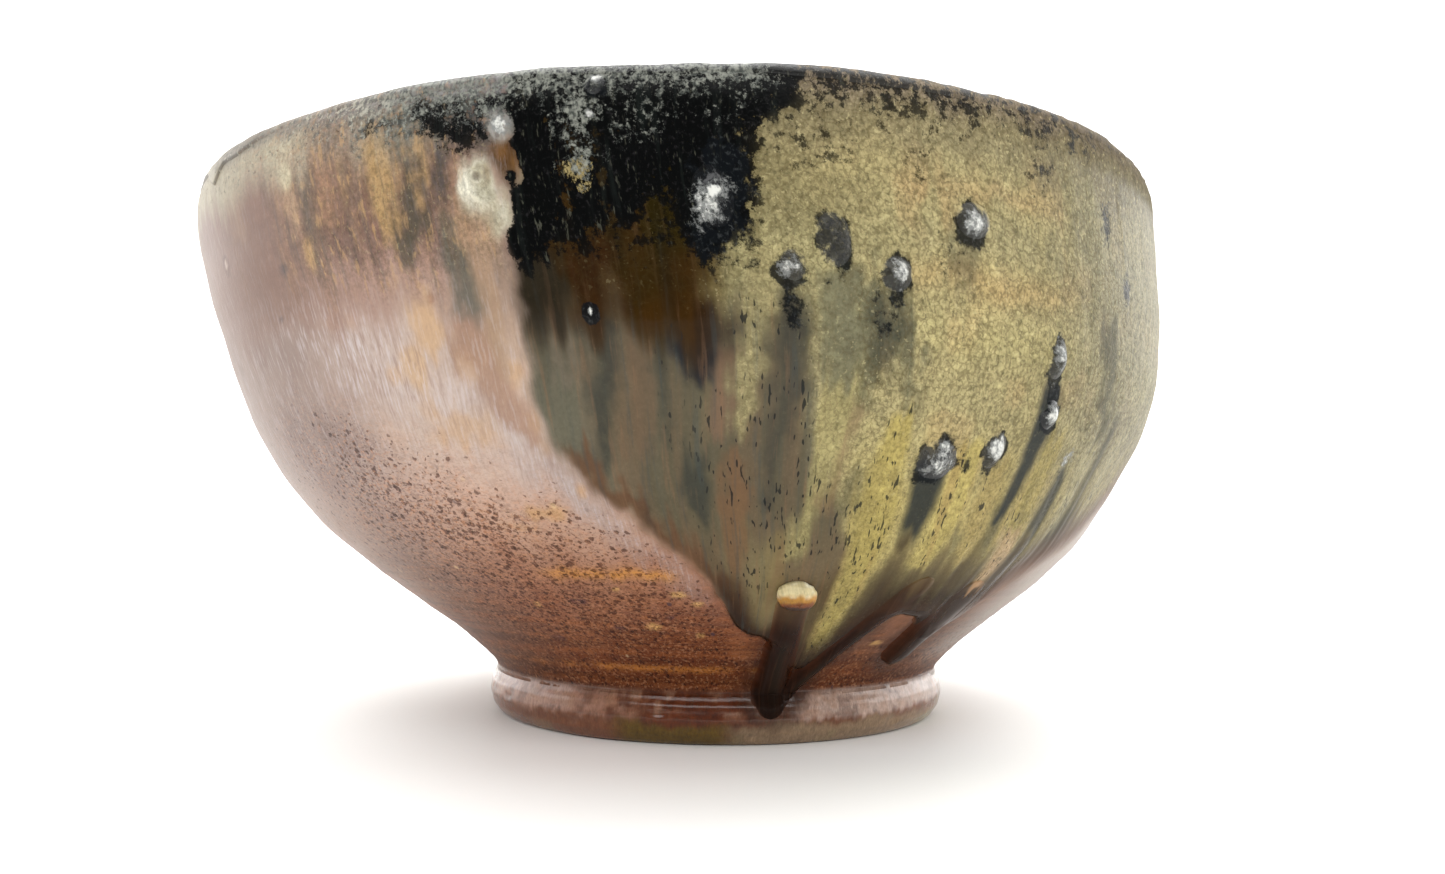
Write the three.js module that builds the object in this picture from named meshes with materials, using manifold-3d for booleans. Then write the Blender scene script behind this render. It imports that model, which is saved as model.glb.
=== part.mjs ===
// A wood-fired stoneware tea bowl for whisked tea, in millimetres, +Z up.
// The bowl stands on its foot ring at z = 0. Angles run round the bowl from -Y (0 degrees) towards +X (90 degrees).
//
// What it is put together from, in the order a potter does it:
//   clay_body        the thrown wall and floor, from the seat on the foot ring to the lip
//   foot_ring        a separately thrown coil, luted under the body, with a flat ground contact face
//   liner_glaze      the poured inside glaze, rolled over the lip and down its outside by a few millimetres
//   ash_glaze_coat   the thick sheet of melted ash glaze on one side of the wall, with a rolled lower edge
//   glaze_run_*      the three thick runs that left the sheet and froze on the lower wall
//   wad_lump         the refractory lump that stuck to the wall, with the wad run behind it
//   kiln_drip_*      tears of glass and crusted ash that landed on the wall, each a solid of its own
// Fired pieces are bonded, so nothing moves. Neighbours keep a 0.3 mm bond line between their meshes.
import * as THREE from "three";
import { mergeVertices } from "three/addons/utils/BufferGeometryUtils.js";
import Module from "manifold-3d";

// ---- driving dimensions -------------------------------------------------------------------------------------------
const BOND = 0.3; // the bond line between neighbouring solids
const LIP_Z = 64.6; // height of the lip where the rim plane crosses the axis
const RIM_TILT = 0.0236; // the rim plane rises towards +X by this slope
const SEAT_Z = 6.2; // underside of the body, where it is luted to the ring
const COAT_IN = 0.7; // how deep the ash glaze sheet sits in the wall
const COAT_OUT = 0.2; // how far it stands proud
const LINER = 0.6; // thickness of the liner glaze
const SEGMENTS = 60; // facets round the bowl

// Outside of the whole bowl as [height, radius], foot ring first, then the wall.
const OUTSIDE = [
  [0.0, 28.6], [0.5, 29.1], [1.4, 29.8], [2.6, 30.15], [3.6, 30.15], [4.6, 29.85], [5.5, 29.4], [6.2, 29.5],
  [7.4, 30.45], [9.27, 32.52], [14.42, 39.02], [17.5, 43.0], [20.6, 46.6], [24.2, 50.05], [27.81, 52.73],
  [32.0, 55.5], [36.05, 57.47], [40.7, 59.1], [45.32, 60.08], [54.59, 61.4], [61.8, 61.86],
  [64.6, 61.6],
];
// The thrown wall leans: the centre of its circle at each height, along X.
const LEAN = [
  [0, 0], [9.27, -0.04], [14.42, -0.25], [20.6, -0.81], [27.81, -1.92], [36.05, -2.27], [45.32, -3.12], [54.59, -4.66], [61.8, -5.44], [66, -5.5],
];
// Inside of the clay as [radius, height], from the middle of the floor to the lip.
const CLAY_INSIDE = [
  [0, 10.9], [11, 11.3], [20, 13.0], [29, 16.3], [37, 21.0], [43.5, 26.5], [48.6, 32.5], [52.4, 39.5],
  [55.3, 50.0], [57.0, 61.0],
];

// ---- helpers ------------------------------------------------------------------------------------------------------
// Smooth (Catmull-Rom style) reading of a table of [x, y] pairs.
function read(table, x) {
  const n = table.length;
  if (x <= table[0][0]) return table[0][1];
  if (x >= table[n - 1][0]) return table[n - 1][1];
  let i = 0;
  while (table[i + 1][0] < x) i++;
  const slope = (k) => {
    const a = Math.max(0, k - 1), b = Math.min(n - 1, k + 1);
    return (table[b][1] - table[a][1]) / (table[b][0] - table[a][0]);
  };
  const [x0, y0] = table[i], [x1, y1] = table[i + 1];
  const h = x1 - x0, t = (x - x0) / h;
  const m0 = slope(i) * h, m1 = slope(i + 1) * h;
  return (
    (2 * t ** 3 - 3 * t ** 2 + 1) * y0 + (t ** 3 - 2 * t ** 2 + t) * m0 + (-2 * t ** 3 + 3 * t ** 2) * y1 + (t ** 3 - t ** 2) * m1
  );
}

// Straight reading of a table of [x, y] pairs.
function line(table, x) {
  if (x <= table[0][0]) return table[0][1];
  for (let i = 1; i < table.length; i++)
    if (x <= table[i][0]) {
      const [x0, y0] = table[i - 1], [x1, y1] = table[i];
      return y0 + ((y1 - y0) * (x - x0)) / (x1 - x0);
    }
  return table[table.length - 1][1];
}

// Moves a point of the straight, round form into the leaning, slightly tilted one.
function lean(v) {
  const z = v.z;
  return new THREE.Vector3(v.x + line(LEAN, z), v.y, z + RIM_TILT * v.x * (Math.max(z, 0) / LIP_Z) ** 2);
}

// The point h off the outside of the round form, at an angle in degrees and a height.
function wall(deg, z, h) {
  const e = 0.4;
  const slope = (read(OUTSIDE, z + e) - read(OUTSIDE, z - e)) / (2 * e);
  const k = 1 / Math.hypot(1, slope);
  const rho = read(OUTSIDE, z) + h * k;
  const a = THREE.MathUtils.degToRad(deg);
  return new THREE.Vector3(rho * Math.sin(a), -rho * Math.cos(a), z - h * slope * k);
}

// Applies f to every vertex of a geometry, and keeps positions only.
function bend(geometry, f) {
  const g = geometry.clone();
  for (const name of Object.keys(g.attributes)) if (name !== "position") g.deleteAttribute(name);
  const p = g.attributes.position, v = new THREE.Vector3();
  for (let i = 0; i < p.count; i++) {
    const w = f(v.fromBufferAttribute(p, i).clone());
    p.setXYZ(i, w.x, w.y, w.z);
  }
  const merged = mergeVertices(g, 1e-3);
  merged.computeVertexNormals();
  return merged;
}

// A turned solid from a profile of [radius, height], either from axis to axis or closed on itself, then leaned.
function turned(profile, segments = SEGMENTS) {
  const lathe = new THREE.LatheGeometry(profile.map(([r, z]) => new THREE.Vector2(r, z)), segments);
  return bend(lathe, (v) => lean(new THREE.Vector3(v.x, -v.z, v.y)));
}

const wasm = await Module();
wasm.setup();

function solid(geometry) {
  const g = mergeVertices(geometry.index ? geometry.toNonIndexed().deleteAttribute("normal") : geometry, 1e-3);
  return new wasm.Manifold(
    new wasm.Mesh({ numProp: 3, vertProperties: g.attributes.position.array, triVerts: new Uint32Array(g.index.array) }),
  );
}

function geometryOf(manifold) {
  const m = manifold.getMesh(), v = new Float32Array(m.numVert * 3);
  for (let i = 0; i < m.numVert; i++) v.set(m.vertProperties.subarray(i * m.numProp, i * m.numProp + 3), i * 3);
  const g = new THREE.BufferGeometry();
  g.setAttribute("position", new THREE.BufferAttribute(v, 3));
  g.setIndex(new THREE.BufferAttribute(new Uint32Array(m.triVerts), 1));
  g.computeVertexNormals();
  return g;
}

const finish = (color, roughness) => new THREE.MeshStandardMaterial({ color, roughness, metalness: 0 });
const CLAY = finish(0x9a6a5c, 0.5), FOOT = finish(0x8c5844, 0.4), LINER_FINISH = finish(0x6b5a34, 0.2);
const ASH = finish(0x7d7040, 0.3), RUN = finish(0x3a241a, 0.15), WAD = finish(0xd9b98a, 0.6), TEAR = finish(0x8f9092, 0.25);

// The whole bowl stands in one group, placed so that the origin is the middle of its bounding box on the table.
const bowl = new THREE.Group();
function add(name, geometry, material) {
  const mesh = new THREE.Mesh(geometry, material);
  mesh.name = name;
  bowl.add(mesh);
  return mesh;
}

// ---- foot ring ----------------------------------------------------------------------------------------------------
const ringTop = SEAT_Z - BOND;
add("foot_ring", turned([
  [24.9, 0.0], [28.6, 0.0], [29.1, 0.5], [29.8, 1.4], [30.15, 2.6], [30.15, 3.6], [29.85, 4.6], [29.4, ringTop],
  [25.0, ringTop], [24.5, 5.0], [24.2, 2.6], [24.4, 0.6], [24.9, 0.0],
]), FOOT);

// ---- ash glaze sheet ----------------------------------------------------------------------------------------------
// Lower edge of the sheet as [degrees, height]. It starts and ends at its sides.
const COAT_FROM = -15, COAT_TO = 150, COAT_TOP = 61.4;
const COAT_EDGE = [
  [-15, 36.5], [-12, 31], [-9, 28], [-6, 25.4], [-3, 22.4], [0, 19.2], [3, 15.8], [6, 14.0], [20, 14.2], [30, 17.0], [40, 17.2], [48, 19],
  [60, 25], [75, 28], [95, 27], [112, 31], [130, 38], [142, 46], [150, 54],
];
function coatShape(grow) {
  const box = new THREE.BoxGeometry(1, 1, 1, 34, 10, 1);
  return bend(box, (v) => {
    const from = COAT_FROM - grow / 1.0, to = COAT_TO + grow / 1.0;
    const deg = from + (v.x + 0.5) * (to - from);
    const low = line(COAT_EDGE, deg) - grow, high = COAT_TOP + grow;
    const z = low + (v.y + 0.5) * (high - low);
    // The cutter reaches well out of the wall, and a bond line deeper than the sheet.
    const h = v.z < 0 ? -(COAT_IN + grow) : grow > 0 ? 2.5 : COAT_OUT;
    return lean(wall(deg, z, h));
  });
}
add("ash_glaze_coat", coatShape(0), ASH);

// ---- clay body ----------------------------------------------------------------------------------------------------
const lipClay = 63.9;
const bodyProfile = [
  [0, 5.5], [2.0, 5.6], [6.0, 6.1], [20.0, 6.1], [24.6, SEAT_Z], [29.5, SEAT_Z],
  ...OUTSIDE.filter(([z]) => z > SEAT_Z && z < 62.0).map(([z, r]) => [r, z]),
  [61.3, 62.7], [60.4, 63.6], [59.2, lipClay], [58.1, 63.5], [57.4, 62.6],
  ...CLAY_INSIDE.slice().reverse(),
];
const body = solid(turned(bodyProfile)).subtract(solid(coatShape(BOND)));
add("clay_body", geometryOf(body), CLAY);

// ---- liner glaze --------------------------------------------------------------------------------------------------
// A shell that follows the clay from the middle of the floor to the lip, over it, and down to the outside of the lip.
function offsetProfile(points, d) {
  return points.map(([r, z], i) => {
    const a = points[Math.max(0, i - 1)], b = points[Math.min(points.length - 1, i + 1)];
    const tr = b[0] - a[0], tz = b[1] - a[1], k = 1 / Math.hypot(tr, tz);
    return [Math.max(0, r - tz * k * d), z + tr * k * d];
  });
}
const linerPath = [
  ...CLAY_INSIDE, [57.4, 62.6], [58.1, 63.5], [59.2, lipClay], [60.4, 63.6], [61.3, 62.7],
];
const linerFar = offsetProfile(linerPath, BOND), linerNear = offsetProfile(linerPath, BOND + LINER);
linerFar[0][0] = 0;
linerNear[0][0] = 0;
add("liner_glaze", turned([...linerFar, ...linerNear.slice().reverse()]), LINER_FINISH);

// ---- thick glaze on the outside -----------------------------------------------------------------------------------
// A lump from half a ball, flat against the wall: centre, half width across, half height along the wall, and how proud.
// A base offset keeps it one bond line off what is under it.
function lump(deg, z, halfWidth, halfHeight, proud, base, columns = 12, rows = 7) {
  const ball = new THREE.SphereGeometry(1, columns, rows);
  return bend(ball, (v) => {
    // The ball's poles point along the wall, so its seams run up and down the lump.
    const radius = read(OUTSIDE, z);
    const d = deg + THREE.MathUtils.radToDeg((v.x * halfWidth) / radius);
    const k = Math.hypot(1, (read(OUTSIDE, z + 0.5) - read(OUTSIDE, z - 0.5)) / 1.0);
    return lean(wall(d, z + (v.y * halfHeight) / k, base + (v.z > 0 ? v.z : v.z * 0.12) * proud + 0.12 * proud));
  });
}

// A run from half a ball, stretched down the wall along a path of [height, degrees, half width, proud].
function run(path, base, columns = 10, rows = 14) {
  const ball = new THREE.SphereGeometry(1, columns, rows);
  const at = (k) => path.map((p) => [p[0], p[k]]).sort((a, b) => a[0] - b[0]);
  const degs = at(1), widths = at(2), prouds = at(3);
  const top = Math.max(...path.map((p) => p[0])), low = Math.min(...path.map((p) => p[0]));
  return bend(ball, (v) => {
    const t = Math.asin(THREE.MathUtils.clamp(v.y, -1, 1)) / Math.PI + 0.5; // even steps along the run
    const z = low + t * (top - low);
    const ring = Math.sqrt(Math.max(0, 1 - v.y * v.y));
    // Full width along most of the run, with rounded ends.
    const end = Math.min(1, Math.sqrt(Math.max(0, 1 - Math.abs(2 * t - 1) ** 6)));
    const across = ring > 1e-6 ? v.x / ring : 0, out = ring > 1e-6 ? v.z / ring : 0;
    const half = line(widths, z) * end, high = line(prouds, z) * end;
    const d = line(degs, z) + THREE.MathUtils.radToDeg((across * half) / read(OUTSIDE, z));
    return lean(wall(d, z, base + (out > 0 ? out : out * 0.12) * high + 0.12 * high));
  });
}

// The wad lump sits across the coat's lower edge, over the top of its run.
add("wad_lump", lump(11.1, 18.3, 1.9, 1.5, 1.7, COAT_OUT + BOND, 14, 9), WAD);
add("glaze_run_wad", run([[13.0, 11.8, 1.9, 1.1], [10.0, 12.2, 1.7, 1.1], [7.4, 12.6, 1.5, 1.1], [5.0, 12.8, 1.7, 0.9], [3.2, 12.8, 1.4, 0.7]], BOND), RUN);
add("glaze_run_middle", run([[13.4, 21.8, 1.5, 0.9], [10.0, 20.2, 1.3, 0.9], [7.6, 19.0, 1.1, 0.8]], BOND), RUN);
add("glaze_run_side", run([[16.0, 38.0, 2.2, 0.9], [13.0, 37.6, 2.0, 1.0], [9.2, 37.4, 1.9, 1.0]], BOND), RUN);

// Kiln drips as [name, degrees, height, half width, half height, proud, on the coat].
const DRIPS = [
  ["kiln_drip_lip", -5.0, 58.6, 0.9, 0.9, 0.6, 1],
  ["kiln_drip_pale_small", -12.9, 58.6, 1.1, 1.3, 0.6, 1],
  ["kiln_drip_pale_crust", -18.0, 54.6, 2.3, 2.6, 0.6, 0],
  ["kiln_drip_star", 3.6, 52.7, 2.2, 2.9, 0.9, 1],
  ["kiln_drip_bead_a", 9.4, 47.2, 1.3, 1.5, 1.0, 1],
  ["kiln_drip_dark", 13.1, 49.4, 1.6, 2.2, 0.6, 1],
  ["kiln_drip_bead_b", 18.5, 46.8, 1.5, 1.6, 1.1, 1],
  ["kiln_drip_bead_c", 26.6, 52.1, 1.9, 1.7, 1.0, 1],
  ["kiln_drip_tear_upper", 37.0, 40.6, 1.4, 2.2, 0.9, 1],
  ["kiln_drip_tear_lower", 37.5, 35.5, 1.4, 1.6, 0.9, 1],
  ["kiln_drip_crust", 24.6, 30.9, 2.4, 2.2, 0.8, 1],
  ["kiln_drip_tear_low", 31.3, 32.0, 1.4, 2.1, 0.9, 1],
];
for (const [name, deg, z, w, h, proud, onCoat] of DRIPS)
  add(name, lump(deg, z, w, h, proud, onCoat ? COAT_OUT + BOND : BOND), TEAR);

// ---- place --------------------------------------------------------------------------------------------------------
bowl.updateMatrixWorld(true);
const box = new THREE.Box3().setFromObject(bowl, true);
bowl.position.set(-(box.min.x + box.max.x) / 2, -(box.min.y + box.max.y) / 2, -box.min.z);
bowl.updateMatrixWorld(true);

export default bowl;
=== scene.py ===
import math

import bpy
import numpy as np
from mathutils import Matrix, Vector


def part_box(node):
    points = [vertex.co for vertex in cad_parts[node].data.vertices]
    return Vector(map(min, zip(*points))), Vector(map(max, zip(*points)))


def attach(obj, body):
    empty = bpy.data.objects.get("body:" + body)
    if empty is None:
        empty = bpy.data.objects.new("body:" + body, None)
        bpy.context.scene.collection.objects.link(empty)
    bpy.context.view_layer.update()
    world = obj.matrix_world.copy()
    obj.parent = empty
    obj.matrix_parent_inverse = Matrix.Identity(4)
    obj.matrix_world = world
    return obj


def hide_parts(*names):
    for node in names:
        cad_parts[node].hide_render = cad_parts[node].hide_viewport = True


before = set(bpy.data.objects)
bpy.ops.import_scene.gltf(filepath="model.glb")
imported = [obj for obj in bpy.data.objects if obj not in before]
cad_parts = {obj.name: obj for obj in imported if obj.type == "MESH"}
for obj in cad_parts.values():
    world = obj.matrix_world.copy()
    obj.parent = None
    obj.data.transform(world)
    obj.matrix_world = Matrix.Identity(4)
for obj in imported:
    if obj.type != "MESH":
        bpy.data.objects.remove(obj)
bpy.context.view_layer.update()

# The foot ring's middle is the centre that everything is turned about. Lengths are in mm until a mesh is made.
ring_lo, ring_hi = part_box("foot_ring")
FOOT = np.array([(ring_lo.x + ring_hi.x) / 2, (ring_lo.y + ring_hi.y) / 2, ring_lo.z]) * 1000.0
FINE = 1.0


# ------------------------------------------------------------------------------------------------------------------
# numbers
# ------------------------------------------------------------------------------------------------------------------
def smooth(a, b, x):
    t = np.clip((np.asarray(x, float) - a) / (b - a), 0.0, 1.0)
    return t * t * (3 - 2 * t)


def table(pairs, x):
    p = np.array(pairs, float)
    return np.interp(x, p[:, 0], p[:, 1])


def spline(t, y):
    """Natural cubic spline through the points, as a function."""
    t, y = np.asarray(t, float), np.asarray(y, float)
    n, h = len(t), np.diff(t)
    a, b = np.zeros((n, n)), np.zeros(n)
    a[0, 0] = a[-1, -1] = 1
    for i in range(1, n - 1):
        a[i, i - 1], a[i, i], a[i, i + 1] = h[i - 1], 2 * (h[i - 1] + h[i]), h[i]
        b[i] = 6 * ((y[i + 1] - y[i]) / h[i] - (y[i] - y[i - 1]) / h[i - 1])
    m = np.linalg.solve(a, b)

    def f(x):
        x = np.clip(np.asarray(x, float), t[0], t[-1])
        i = np.clip(np.searchsorted(t, x) - 1, 0, n - 2)
        d, e = x - t[i], t[i + 1] - x
        return (
            m[i] * e**3 / (6 * h[i])
            + m[i + 1] * d**3 / (6 * h[i])
            + (y[i] / h[i] - m[i] * h[i] / 6) * e
            + (y[i + 1] / h[i] - m[i + 1] * h[i] / 6) * d
        )

    return f


def value_noise(x, y, z, seed=0):
    """Smooth lattice noise from -1 to 1."""
    x, y, z = np.broadcast_arrays(np.asarray(x, float), np.asarray(y, float), np.asarray(z, float))
    xi, yi, zi = np.floor(x).astype(np.int64), np.floor(y).astype(np.int64), np.floor(z).astype(np.int64)
    fx, fy, fz = x - xi, y - yi, z - zi
    fx, fy, fz = (t * t * t * (t * (t * 6 - 15) + 10) for t in (fx, fy, fz))
    out = 0.0
    for dx in (0, 1):
        for dy in (0, 1):
            for dz in (0, 1):
                h = ((xi + dx) * 374761393 + (yi + dy) * 668265263 + (zi + dz) * 1442695041 + seed * 974634777) & 0xFFFFFFFF
                h = ((h ^ (h >> 13)) * 1274126177) & 0xFFFFFFFF
                h = h ^ (h >> 16)
                v = (h & 0xFFFF) / 32767.5 - 1.0
                out = out + v * (fx if dx else 1 - fx) * (fy if dy else 1 - fy) * (fz if dz else 1 - fz)
    return out


def fbm(x, y, z, seed=0, octaves=3):
    total, amp, norm = 0.0, 1.0, 0.0
    for k in range(octaves):
        total = total + amp * value_noise(np.asarray(x) * 2**k, np.asarray(y) * 2**k, np.asarray(z) * 2**k, seed + 17 * k)
        norm += amp
        amp *= 0.5
    return total / norm


def colour(r, g, b):
    c = np.array([r, g, b], float) / 255.0
    return np.where(c <= 0.04045, c / 12.92, ((c + 0.055) / 1.055) ** 2.4)


def lay(base, over, amount):
    amount = np.clip(amount, 0, 1)[..., None]
    return base * (1 - amount) + over * amount


# ------------------------------------------------------------------------------------------------------------------
# the form: one profile from the ground, up the foot and the wall, over the lip and down the inside to the well
# ------------------------------------------------------------------------------------------------------------------
OUTER = [
    (28.55, 0.0), (28.95, 0.18), (29.4, 0.62), (29.9, 1.45), (30.2, 2.5), (30.22, 3.5), (29.98, 4.5), (29.6, 5.3),
    (29.42, 5.85), (29.62, 6.45), (30.4, 7.4), (32.45, 9.35), (35.6, 11.95), (39.0, 14.45), (42.95, 17.5), (46.55, 20.6),
    (50.0, 24.1), (52.75, 27.85), (55.4, 32.0), (57.45, 36.05), (59.05, 40.6), (60.1, 45.3), (60.9, 50.0), (61.42, 54.6),
    (61.75, 58.6), (61.86, 61.4), (61.62, 63.05), (60.95, 64.1), (59.95, 64.55), (58.95, 64.15), (58.2, 63.1), (57.75, 61.4),
]
INNER = [
    (57.2, 58.0), (56.5, 54.0), (55.5, 49.0), (53.9, 43.5), (51.6, 37.6), (48.2, 31.4), (43.6, 25.9), (37.4, 21.1),
    (29.6, 17.2), (20.4, 14.1), (11.0, 12.45), (4.0, 12.0), (0.0, 11.95),
]
_pts = np.array(OUTER + INNER)
_k = np.concatenate([[0], np.cumsum(np.hypot(*np.diff(_pts, axis=0).T))])
_fr, _fz = spline(_k, _pts[:, 0]), spline(_k, _pts[:, 1])
_dense = np.linspace(0, _k[-1], 12000)
_len = np.concatenate([[0], np.cumsum(np.hypot(np.diff(_fr(_dense)), np.diff(_fz(_dense))))])
TOTAL = float(_len[-1])


def prof(s):
    """Radius, height and outward normal of the profile at a length s along it from the ground."""
    k = np.interp(s, _len, _dense)
    r, z = _fr(k), _fz(k)
    dr, dz = _fr(k + 0.02) - _fr(k - 0.02), _fz(k + 0.02) - _fz(k - 0.02)
    n = np.hypot(dr, dz) + 1e-12
    return r, z, dz / n, -dr / n


_zs = _fz(_dense)
_crest = int(np.argmax(_zs))
S_CREST = float(_len[_crest])


def at(z):
    """Length along the outside at a height."""
    return np.interp(z, _zs[:_crest], _len[:_crest])


S_GROOVE = float(at(6.0))
S_LAP = float(at(63.0))
_lean = np.array([
    (0, 0), (9.27, -0.04), (14.42, -0.25), (20.6, -0.81), (27.81, -1.92), (36.05, -2.27), (45.32, -3.12), (54.59, -4.66),
    (61.8, -5.44), (66, -5.5),
])
_lean_x = spline(_lean[:, 0], _lean[:, 1])
TILT, RIM = 0.0236, 64.47


def place(th, s, h):
    """The point h mm off the surface at an angle in degrees and a length along the profile, in the leaning form."""
    r, z, nr, nz = prof(s)
    a = np.radians(th)
    rho, zz = r + h * nr, z + h * nz
    x, y = rho * np.sin(a), -rho * np.cos(a)
    zc = np.clip(zz, 0, 66)
    return np.stack([x + _lean_x(zc), y, zz + TILT * x * (zc / RIM) ** 2], -1)


# ------------------------------------------------------------------------------------------------------------------
# where the ash glaze sheet lies: its edge, and the distance to it
# ------------------------------------------------------------------------------------------------------------------
EDGE = [
    (-11.8, 70), (-12.2, 63), (-12.8, 57), (-13.9, 50), (-14.9, 42), (-15.0, 36), (-13.6, 31.0), (-11.6, 28.6), (-9.4, 26.2), (-7.2, 24.6),
    (-5.0, 22.6), (-2.4, 20.6), (0.2, 18.4), (2.0, 16.0), (3.4, 14.2), (5.2, 13.3), (7.4, 13.0), (9.0, 12.4), (10.5, 11.6), (12, 10.6), (14, 9.4), (16, 8.8), (18, 9.0),
    (20, 10.0), (21.8, 11.8), (23.6, 13.4), (26, 14.6), (30, 15.2), (33.5, 14.8), (35.5, 13.4), (37.5, 12.2), (40, 12.0), (43, 12.8), (46, 14.2), (50, 17.4),
    (54, 19.2), (60, 22), (67, 25.4), (75, 29), (85, 30), (95, 32), (105, 33.5), (115, 36), (125, 38.5), (135, 43), (143, 47), (150, 52),
    (156, 58), (158, 70),
]
_edge = np.array([(60.0 * math.radians(t), float(at(min(z, 63.5))) + max(0, z - 63.5) * 3) for t, z in EDGE])


def edge_distance(th, s):
    """Distance in mm to the sheet's edge: positive inside it."""
    x = 60.0 * np.radians(th)
    # Roughly even distances near the foot too, where a degree is shorter.
    shrink = np.clip(prof(s)[0] / 60.0, 0.45, 1.05)
    best = np.full(np.shape(x), 1e9)
    inside = np.zeros(np.shape(x), bool)
    for (x0, y0), (x1, y1) in zip(_edge[:-1], _edge[1:]):
        ex, ey = (x1 - x0) * shrink, y1 - y0
        px, py = (x - x0) * shrink, s - y0
        t = np.clip((px * ex + py * ey) / (ex * ex + ey * ey), 0, 1)
        best = np.minimum(best, np.hypot(px - t * ex, py - t * ey))
    for (x0, y0), (x1, y1) in zip(_edge, np.roll(_edge, -1, axis=0)):
        if y0 != y1:
            inside ^= ((y0 > s) != (y1 > s)) & (x < (x1 - x0) * (s - y0) / (y1 - y0) + x0)
    return np.where(inside, best, -best)


def flow_of(th, s):
    a = np.radians(th)
    return np.stack([60.0 * np.sin(a), -60.0 * np.cos(a), s], -1)


def streaks(th, s, across, along, seed, octaves=3):
    """Noise drawn out down the wall: across and along are its sizes in mm."""
    f = flow_of(th, s)
    return fbm(f[..., 0] / across, f[..., 1] / across, f[..., 2] / along, seed, octaves)


# What stuck to the wall: angle, height, half width, half height (mm), how proud, kind.
DRIPS = {
    "kiln_drip_lip": (-4.9, 62.4, 0.95, 0.95, 0.45, "bead"),
    "kiln_drip_pale_small": (-12.9, 59.3, 1.25, 1.45, 0.35, "pale"),
    "kiln_drip_pale_crust": (-15.2, 54.5, 2.7, 2.9, 0.5, "crust"),
    "kiln_drip_star": (3.6, 52.7, 2.1, 3.0, 0.6, "star"),
    "kiln_drip_bead_a": (9.4, 47.1, 1.25, 1.35, 0.8, "bead"),
    "kiln_drip_dark": (13.1, 49.4, 1.9, 2.5, 0.35, "dark"),
    "kiln_drip_bead_b": (18.5, 46.8, 1.6, 1.6, 0.85, "bead"),
    "kiln_drip_bead_c": (26.7, 52.2, 1.9, 1.8, 0.7, "bead"),
    "kiln_drip_tear_upper": (37.0, 40.7, 1.4, 2.0, 0.7, "bead"),
    "kiln_drip_tear_lower": (37.5, 35.6, 1.4, 1.5, 0.7, "bead"),
    "kiln_drip_crust": (24.6, 31.0, 2.5, 2.3, 0.5, "grey"),
    "kiln_drip_tear_low": (31.3, 32.0, 1.4, 2.1, 0.75, "bead"),
}


def local(th, s, th0, z0):
    """mm across and up the wall from a point."""
    s0 = float(at(z0))
    return float(prof(s0)[0]) * np.radians(th - th0), s - s0


def oval(th, s, th0, z0, rx, ry):
    x, y = local(th, s, th0, z0)
    return np.hypot(x / rx, y / ry)


def stroke(th, s, path, soft=0.6, ragged=0.0, seed=3):
    """How far inside a brush stroke: 1 in it, 0 outside. path is (angle, height, half width in mm)."""
    out = np.zeros(np.shape(th))
    if ragged:
        th = th + ragged * streaks(th, s, 1.1, 9.0, seed, 2)
    for (t0, z0, w0), (t1, z1, w1) in zip(path[:-1], path[1:]):
        s0, s1 = float(at(z0)), float(at(z1))
        k0, k1 = float(prof(s0)[0]), float(prof(s1)[0])
        f = np.clip((s - s0) / (s1 - s0 + 1e-9), 0, 1)
        k = k0 + (k1 - k0) * f
        dx = k * np.radians(th - (t0 + (t1 - t0) * f))
        sc = s0 + (s1 - s0) * f
        w = w0 + (w1 - w0) * f
        d = np.hypot(dx, s - sc)
        out = np.maximum(out, 1 - smooth(w - soft / 2, w + soft / 2, d))
    return out


# ------------------------------------------------------------------------------------------------------------------
# relief of the outside
# ------------------------------------------------------------------------------------------------------------------
def throwing(th, s):
    """Rings left by the fingers, and the slow wobble of a hand-thrown wall."""
    f = flow_of(th, s)
    drift = s + th * 0.012
    rings = 0.035 * np.sin(drift * 2 * math.pi / 7.6 + 0.8 * value_noise(f[..., 0] / 40, f[..., 1] / 40, s / 30, 5))
    fine = 0.02 * value_noise(f[..., 0] / 60, f[..., 1] / 60, drift / 0.55, 9) + 0.012 * value_noise(f[..., 0] / 60, f[..., 1] / 60, drift / 0.3, 19)
    wobble = 0.13 * value_noise(f[..., 0] / 33, f[..., 1] / 33, s / 26, 11)
    body = smooth(S_GROOVE, S_GROOVE + 5, s) * (1 - smooth(S_CREST - 6, S_CREST - 2, s))
    trim = smooth(S_GROOVE, S_GROOVE + 2, s) * (1 - smooth(at(16), at(24), s))
    line = -0.10 * np.exp(-((s - at(19.55)) / 0.35) ** 2) * smooth(-60, -30, th) * (1 - smooth(-3, 3, th))
    line = line - 0.07 * np.exp(-((s - at(8.4)) / 0.3) ** 2)
    sheet = smooth(-0.5, 1.0, edge_distance(th, s))
    return body * (rings + wobble) + (fine * (0.5 + 1.3 * trim) * smooth(S_GROOVE, S_GROOVE + 1, s) + line) * (1 - 0.9 * sheet)


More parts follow.
